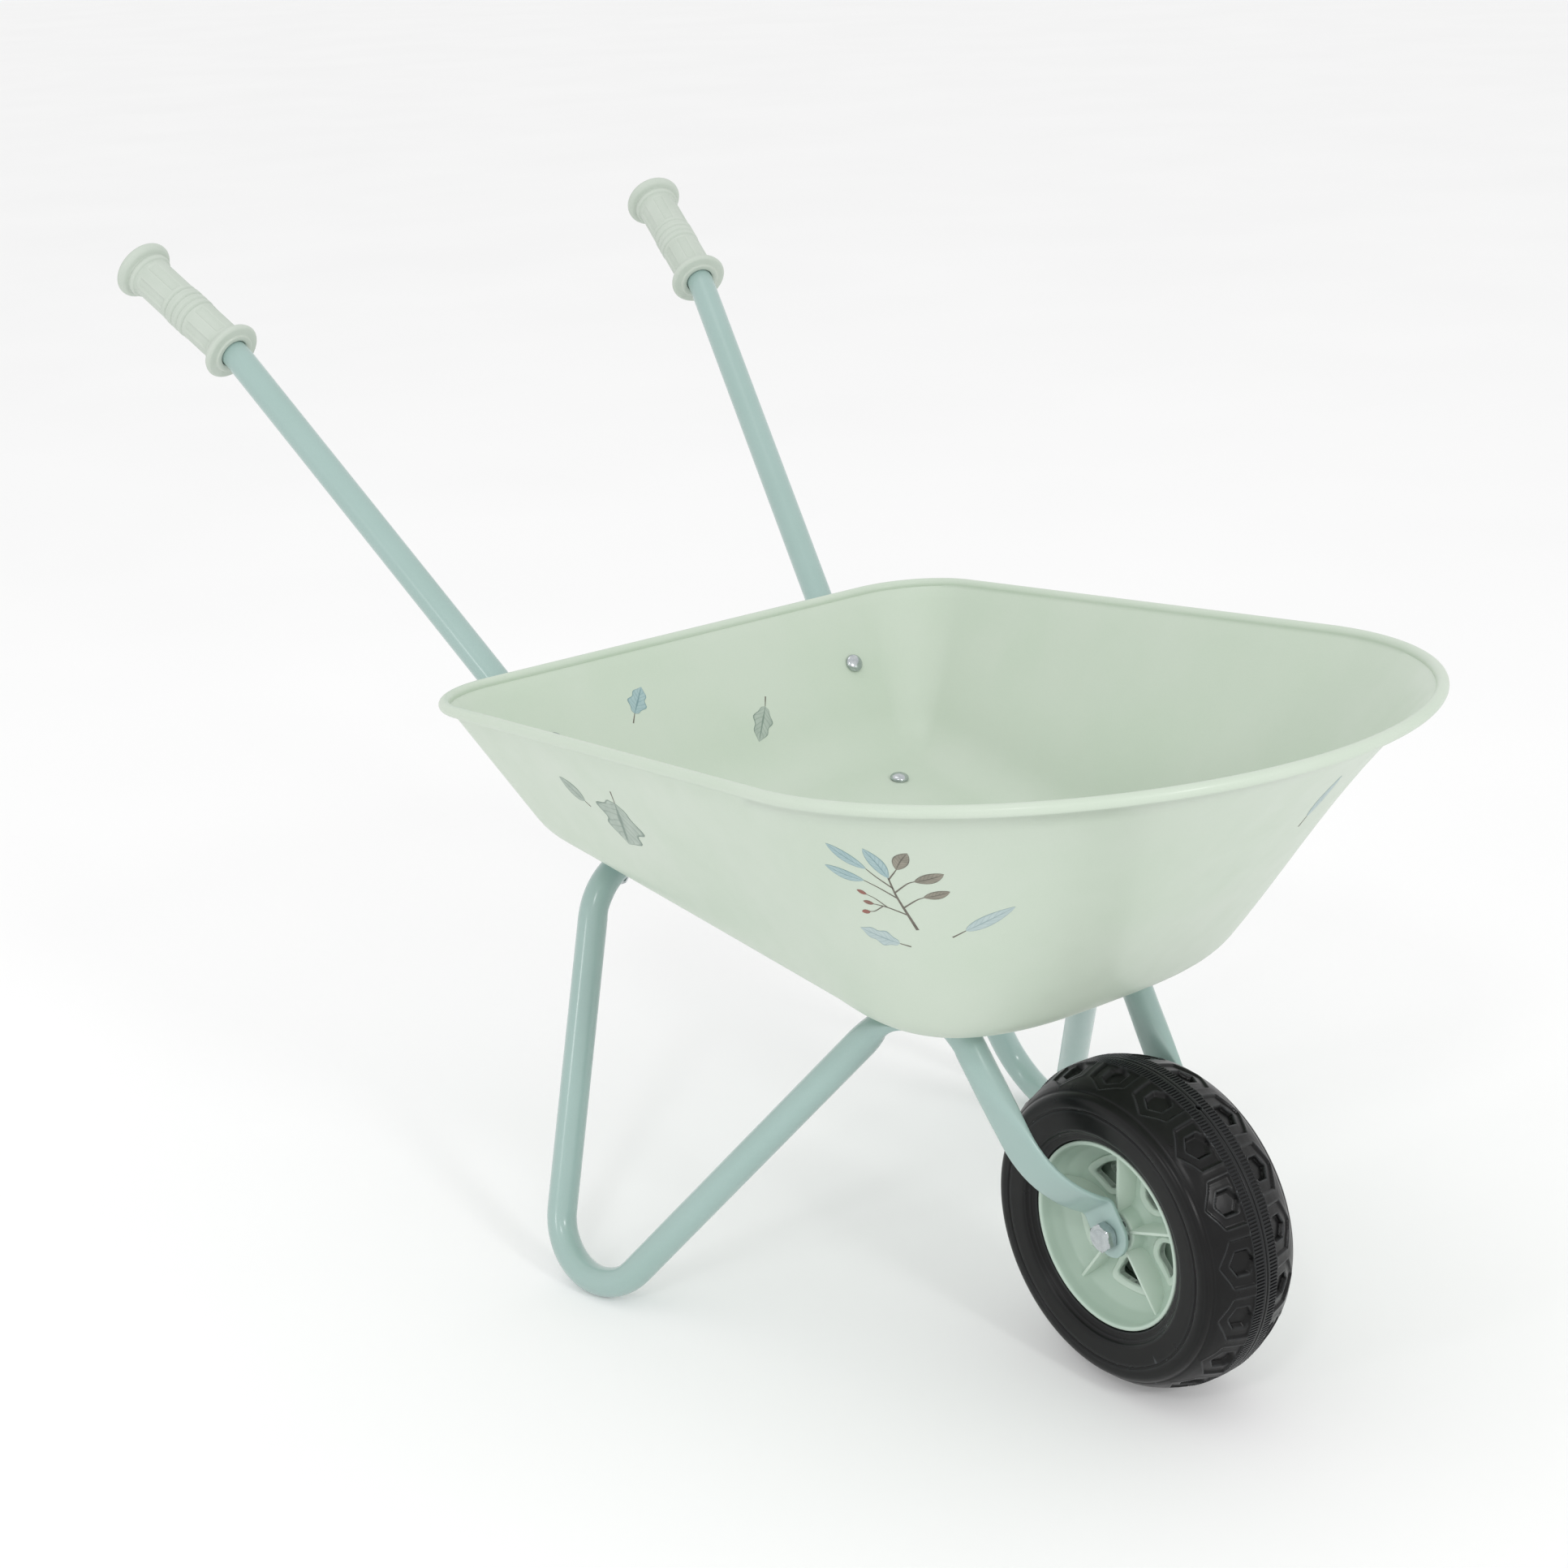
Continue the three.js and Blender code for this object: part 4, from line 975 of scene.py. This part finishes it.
def make_hub_half(hand, side):
    """A dish with its windows cut out, and the ribs and window borders that stand on it."""
    dish, cutter, shell = Shell(), Shell(), Shell()
    rings = []
    for p in rounded(HUB_PROFILE, 1.3, 3):
        rings.append([wheel_point(p.x, a, side * p.y) for a in around(HUB_SIDES)])
    dish.loft(rings, loop=True)
    for k in range(RIB_COUNT):
        angle = RIB_ANGLE + 2 * pi * k / RIB_COUNT
        middle = angle + pi / RIB_COUNT
        outline = window_outline(middle, 0.0)
        cutter.loft([[hub_point(x, y, z, side) for x, z in outline] for y in (-4, 30)])
        add_rib(shell, angle, side)
        add_border(shell, middle, side)
    shell.add(*cut_windows(dish, cutter))
    shell.make(f"hub_dish_{hand}", HUB_LOOK, "hub_plastic", "wheel", [f"hub_{hand}"], sharp=35)


# ---- fasteners

def node_points(node):
    """A CAD node's points, in millimetres."""
    piece = frame["nodes"][node]
    return [local(piece.matrix_world @ v.co) for v in piece.data.vertices]


def long_axis(node, towards):
    """The direction a long turned CAD piece lies in, pointing the same way as towards."""
    points = np.array([tuple(p) for p in node_points(node)])
    spread = np.cov((points - points.mean(axis=0)).T)
    axis = Vector(np.linalg.eigh(spread)[1][:, -1])
    return axis if axis.dot(towards) > 0 else -axis


def span(node, axis):
    """How far a CAD node reaches along an axis."""
    reach = [p.dot(axis) for p in node_points(node)]
    return min(reach), max(reach)


def hexagon(flats, height, hole, foot, axis, sides):
    """A nut, or without a hole a bolt's head, with its corners turned down, as Shell.turned takes it."""
    def reach(angle, r, h):
        if r < flats * 0.45:
            return r
        off = (angle + pi / 6) % (pi / 3) - pi / 6
        side = min(flats / 2 / cos(off), flats / 2 + (height - h) * 1.9)
        if hole:
            side = min(side, flats / 2 + h * 1.9)
        return min(side, r)

    wall = [(flats / sqrt(3) + 0.1, height * k / 12) for k in range(13)]
    inner = [(hole + 0.5, height), (hole, height - 0.4)] if hole else [(flats * 0.3, height), (0.0, height)]
    return [(hole, 0.0)] + wall + inner, foot, axis, sides, reach, bool(hole)


def threads(radius, low, high, pitch):
    """A threaded shank as a zigzag of (r, h) pairs, from high to low."""
    line = []
    for k in range(int((high - low) / pitch)):
        h = high - k * pitch
        line += [(radius, h), (radius - pitch * 0.45, h - pitch * 0.5)]
    return line + [(radius - 0.7, low + 0.35), (radius - 1.0, low), (0.0, low)]


def hardware(name, node, *solids, sharp=32):
    """One zinc-plated piece in place of a CAD node; each solid is what Shell.turned takes."""
    shell = Shell()
    for solid in solids:
        shell.turned(*solid)
    shell.make(name, ZINC_LOOK, "zinc", "frame", [node], sharp=sharp)


def hex_nut(name, node, flats, hole, foot, axis, sides):
    """A hexagon nut from one end of its CAD node to the other."""
    bottom, top = span(node, axis)
    hardware(name, node, hexagon(flats, top - bottom, hole, foot + axis * bottom, axis, sides), sharp=25)


def make_tray_bolt(stem):
    """A dome-headed bolt with its washer and nut, along the bolt's own CAD axis."""
    bolt, washer, nut = f"{stem}_bolt", f"{stem}_washer", f"{stem}_nut"
    washer_centre = local(box_centre(washer))
    axis = long_axis(bolt, local(box_centre(bolt)) - washer_centre)
    base = washer_centre - axis * washer_centre.dot(axis)
    low, high = span(bolt, axis)
    dome = [(5.2 * sin(a), high - 2.35 * (1 - cos(a))) for a in [radians(10 * k) for k in range(10)]]
    seat = high - 3.1
    head = dome + [(5.1, seat + 0.1), (4.9, seat), (2.5, seat)]
    hardware(f"{stem}_dome_bolt", bolt, (head + threads(BOLT_RADIUS, low, seat - 1.5, 0.8), base, axis, 32))
    bottom, top = span(washer, axis)
    ring = [(2.8, bottom), (5.8, bottom), (6, bottom + 0.2), (6, top - 0.3), (5.7, top), (2.8, top)]
    hardware(f"{stem}_flat_washer", washer, (ring, base, axis, 36, None, True))
    hex_nut(f"{stem}_hex_nut", nut, NUT_FLATS, 2.8, base, axis, 72)


def make_leg_bolt(hand):
    """The low hexagon screw that holds the crossbar to a rail."""
    node = f"leg_bolt_{hand}"
    axis = long_axis(node, Vector((0, 0, -1)))
    low, high = span(node, axis)
    centre = local(box_centre(node))
    base = centre - axis * centre.dot(axis)
    seat = high - LEG_SCREW_HEAD
    neck = seat + 0.1
    head = hexagon(NUT_FLATS, LEG_SCREW_HEAD, 0, base + axis * seat, axis, 72)
    shank = [(0, neck), (BOLT_RADIUS, neck)] + threads(BOLT_RADIUS, low, neck - 2.5, 0.8)
    hardware(f"leg_hex_bolt_{hand}", node, head, (shank, base, axis, 28), sharp=25)


def axle_ring(name, node, hole, radius):
    """A sleeve or spacer on the axle."""
    near, far = span(node, ACROSS)
    ring = rounded([(hole, near), (radius, near), (radius, far), (hole, far), (hole, near)], 0.3)
    hardware(name, node, (ring, AXLE, ACROSS, 40, None, True))


def make_axle_set():
    """The hexagon bolt with its flange and raised face, the nut on the far side, and what lies between."""
    low, high = span("axle_bolt", ACROSS)
    under = high - AXLE_HEAD
    base = AXLE + ACROSS * under
    head = hexagon(AXLE_FLATS, AXLE_HEAD - 0.9, 0, base + ACROSS * 0.9, ACROSS, 96)
    flange = rounded([(0, 0), (6.4, 0), (6.4, 0.95), (0, 1.0)], 0.3)
    face = rounded([(0, AXLE_HEAD - 0.1), (4.6, AXLE_HEAD - 0.1), (4.5, AXLE_HEAD + 0.12),
                    (0, AXLE_HEAD + 0.16)], 0.3)
    shank = [(0, under + 0.1), (AXLE_RADIUS, under + 0.1)] + threads(AXLE_RADIUS, low, low + 14, 1.25)
    hardware("axle_hex_bolt", "axle_bolt", head, (flange, base, ACROSS, 48), (face, base, ACROSS, 48),
             (shank, AXLE, ACROSS, 40), sharp=25)
    hex_nut("axle_hex_nut", "axle_nut", AXLE_FLATS, 4.3, AXLE, -ACROSS, 96)
    axle_ring("axle_tube_sleeve", "axle_sleeve", 4.3, 6)
    for hand, _ in SIDES:
        axle_ring(f"axle_spacer_ring_{hand}", f"axle_spacer_{hand}", 6.3, 9.5)


# ---- prints on the tray

PRINT_THICKNESS = 0.12
STEM_THICKNESS = 0.1
PRINT_ROOT = -0.3
BLADE_COLUMNS = 8
REAR_SIDE = (0.014, -0.88, -0.475)
REAR_WALL, REAR_WALL_UP = (0.847, 0, 0.531), (-0.531, 0, 0.847)
# Each leaf: name, centre, facing, (up), stem end, base, tip, half width, ink, lobes.
SIDE_LEAVES = [
    ("low", (-28.8, -131.5, 258.2), (0.396, -0.789, -0.469),
     (12, -4), (7, -2.4), (-11, 4), 4.6, PALE_INK, 0.18),
    ("fore", (14, -108.8, 272.3), (0.62, -0.582, -0.526), (-15, -12), (-9, -7), (13, 9), 3.6, PALE_INK, 0),
    ("rear", (-211.9, -150.6, 271.1), REAR_SIDE, (12, 23), (9, 14), (-3, -18), 14.5, GREY_INK, 0.2),
    ("small", (-240.4, -155.9, 280), REAR_SIDE, (8, -8), (5, -5), (-7, 8), 5.4, GREY_INK, 0),
]
MIDDLE_LEAVES = [
    ("inner_blue", (-346.7, -45.4, 276.6), REAR_WALL, REAR_WALL_UP,
     (-6.5, -9.5), (-3.5, -4.5), (6.5, 9), 5.2, BLUE_INK, 0.18),
    ("inner_green", (-332.3, 28.9, 253.7), REAR_WALL, REAR_WALL_UP,
     (7.6, 13), (5, 7.5), (-7.5, -11), 5.6, GREY_INK, 0.16),
    ("nose", (66, 42, 300), (0.78, 0.15, -0.61), UP, (2, -14), (1, -6), (-4, 26), 3.2, PALE_INK, 0),
]


class Patch:
    """A place on the tray's skin to print on: u runs along up's right-hand side and v towards up."""

    def __init__(self, skin, centre, facing, up):
        self.skin = skin
        self.centre = Vector(centre)
        self.normal = Vector(facing).normalized()
        self.v, _ = square_to(self.normal, Vector(up))
        self.u = self.v.cross(self.normal)

    def lay(self, spot, lift):
        """The point of the skin under a spot, lifted off it."""
        origin = self.centre + self.u * spot.x + self.v * spot.y + self.normal * 25
        point, normal, _, _ = self.skin.ray_cast(origin, -self.normal)
        if normal.dot(self.normal) < 0:
            normal = -normal
        return point + normal * lift


def add_blade(shell, patch, start, end, width, bow=0.0, tip=1.0, wave=0.0, steps=14):
    """A leaf from its base to its tip, printed as a thin closed film; wave gives it lobes."""
    start, end = Vector(start), Vector(end)
    along = end - start
    side = Vector((-along.y, along.x)).normalized()
    columns = [2 * j / BLADE_COLUMNS - 1 for j in range(BLADE_COLUMNS + 1)]
    film = [(s, PRINT_THICKNESS) for s in columns] + [(s, PRINT_ROOT) for s in columns[::-1]]
    rings, marks = [], []
    for i in range(steps + 1):
        t = i / steps
        swell = sin(pi * t ** tip) ** 0.75 if 0 < t < 1 else 0.0
        swell *= 1 + wave * cos(2 * pi * 2.5 * t + 0.5)
        middle = start + along * t + side * (bow * sin(pi * t))
        half = max(0.06, width * swell)
        rings.append([patch.lay(middle + side * (s * half), lift) for s, lift in film])
        marks += [(s, t, 0.0) for s, _ in film]
    shell.loft(rings, marks=marks)


def add_stem(shell, patch, path, width=0.4):
    """A tapering stem through points."""
    points = [Vector(p) for p in (path[0], *path, path[-1])]
    line = []
    for before, p1, p2, after in zip(points, points[1:], points[2:], points[3:]):
        for t in [k / 6 for k in range(6)]:
            line.append(0.5 * (2 * p1 + (p2 - before) * t + (2 * before - 5 * p1 + 4 * p2 - after) * t ** 2
                               + (3 * p1 - before - 3 * p2 + after) * t ** 3))
    line.append(points[-1])
    rings, marks = [], []
    for i, point in enumerate(line):
        t = i / (len(line) - 1)
        ahead = line[min(len(line) - 1, i + 1)] - line[max(0, i - 1)]
        side = Vector((-ahead.y, ahead.x)).normalized() * lerp(width, width * 0.45, t)
        film = [(-1, STEM_THICKNESS), (1, STEM_THICKNESS), (1, PRINT_ROOT), (-1, PRINT_ROOT)]
        rings.append([patch.lay(point + side * s, lift) for s, lift in film])
        marks += [(0.5, t, 0.0)] * 4
    shell.loft(rings, marks=marks)


def print_on(patch, name, look, stems=(), blades=()):
    """One film of stems and leaves on a patch; each is what add_stem or add_blade takes."""
    shell = Shell()
    for stem in stems:
        add_stem(shell, patch, *stem)
    for blade in blades:
        add_blade(shell, patch, *blade)
    shell.make(name, look, "tray_paint", "frame", [], sharp=40)


def make_sprig(hand, patch):
    """A plain sprig: one stem, blue-grey leaves to the left, taupe leaves to the right, three berries."""
    print_on(patch, f"sprig_stems_{hand}", STEM_INK, stems=[
        ([(4, -21), (1.5, -10), (-1, 2), (-2, 14)], 0.75),
        ([(-0.5, 0), (-8, 6), (-15, 10)],),
        ([(-1.4, 7), (-8, 14), (-12, 19)],),
        ([(0.8, -6), (8, 0), (12, 2)],),
        ([(-1.2, 4), (6, 11), (10, 13)],),
        ([(-2, 13), (1.5, 18), (3.5, 21)],),
        ([(1.8, -11), (-7, -7), (-14, -6)],),
        ([(-7, -7), (-12, -2), (-16, 0)], 0.3),
        ([(-9, -6.4), (-14, -11), (-17, -12)], 0.3),
    ])
    print_on(patch, f"sprig_blue_leaves_{hand}", BLUE_INK, blades=[
        ((-14.5, 9.8), (-33, 14), 3.4, 0.8),
        ((-11.5, 18.5), (-28, 31), 3.6, 0.6),
        ((-2, 14), (-9.5, 33), 3.8, -0.6),
    ])
    print_on(patch, f"sprig_taupe_leaves_{hand}", TAUPE_INK, blades=[
        ((11.5, 2), (24, 6), 2.6, -0.4),
        ((9.6, 12.8), (24, 18.5), 3.2, -0.5),
        ((3.2, 20.6), (11, 33), 3.6, 0.5),
    ])
    print_on(patch, f"sprig_berries_{hand}", BERRY_INK, blades=[
        ((-13.5, -6), (-18.5, -5.4), 1.3),
        ((-15.5, 0), (-20, 1.8), 1.3),
        ((-16.5, -12), (-21, -13.4), 1.3),
    ])


def make_leaf(name, patch, stem_end, base, tip, width, look, wave):
    stem = [stem_end, Vector(stem_end).lerp(Vector(base), 0.5), base]
    print_on(patch, f"{name}_stem", STEM_INK, stems=[(stem,)])
    print_on(patch, f"{name}_blade", look, blades=[(base, tip, width, 0.0, 0.8, wave, 22)])


def make_prints(tray):
    """The same prints on both sides, right side first, then two leaves inside and one on the nose."""
    skin = BVHTree.FromPolygons(tray.points, tray.faces)
    for hand, side in SIDES[::-1]:
        def patch(centre, facing):
            return Patch(skin, sided(centre, -side), sided(facing, -side), UP)

        make_sprig(hand, patch((-9.9, -137.8, 283.6), (0.417, -0.767, -0.488)))
        for name, centre, facing, *leaf in SIDE_LEAVES:
            make_leaf(f"{name}_leaf_{hand}", patch(centre, facing), *leaf)
    for name, centre, facing, up, *leaf in MIDDLE_LEAVES:
        make_leaf(f"{name}_leaf", Patch(skin, centre, facing, up), *leaf)


# ---- studio

SKY_STRENGTH = 0.92
LIT_CENTRE = Vector((0, 0, 0.25))


def make_camera():
    data = bpy.data.cameras.new("camera")
    data.lens = 63.469
    data.sensor_width = 36
    camera = placed("camera", data)
    camera.location = (1.12256, -0.84504, 0.7259)
    camera.rotation_euler = [radians(a) for a in (70.96239, 2.40175, 52.5961)]
    bpy.context.scene.camera = camera


def make_floor():
    """A plain pale floor, far larger than the view."""
    far = 40.0
    mesh = bpy.data.meshes.new("floor")
    mesh.from_pydata([(-far, -far, 0), (far, -far, 0), (far, far, 0), (-far, far, 0)], [], [(0, 1, 2, 3)])
    mesh.materials.append(floor_paint())
    placed("floor", mesh)


def add_area(name, location, size, power):
    """A round light that points at the barrow's middle."""
    data = bpy.data.lights.new(name, "AREA")
    data.shape = "DISK"
    data.size = size
    data.energy = power
    light = placed(name, data)
    light.location = location
    light.rotation_euler = (LIT_CENTRE - Vector(location)).to_track_quat("-Z", "Y").to_euler()


def make_studio():
    make_floor()
    sky = bpy.data.worlds.new("studio")
    sky.use_nodes = True
    background = sky.node_tree.nodes["Background"]
    background.inputs["Color"].default_value = (1, 1, 1, 1)
    background.inputs["Strength"].default_value = SKY_STRENGTH
    scene = bpy.context.scene
    scene.world = sky
    scene.view_settings.view_transform = "Standard"
    add_area("key", (2.6, -0.1, 1.5), 0.4, 11.5)
    add_area("front", (1.5, -1.7, 2.0), 0.35, 6)
    add_area("side", (0.2, -2.5, 0.9), 0.3, 3.6)
    add_area("top", (-0.5, -0.3, 2.8), 1.2, 3)


# ---- assembly

make_camera()
make_studio()
tray_shell = make_tray()
make_rails()
make_leg_frame()
make_grips()
make_tyre()
for hand, side in SIDES:
    make_hub_half(hand, side)
for place in ("wall", "rear", "front"):
    for hand, _ in SIDES:
        make_tray_bolt(f"{place}_{hand}")
for hand, _ in SIDES:
    make_leg_bolt(hand)
make_axle_set()
make_prints(tray_shell)
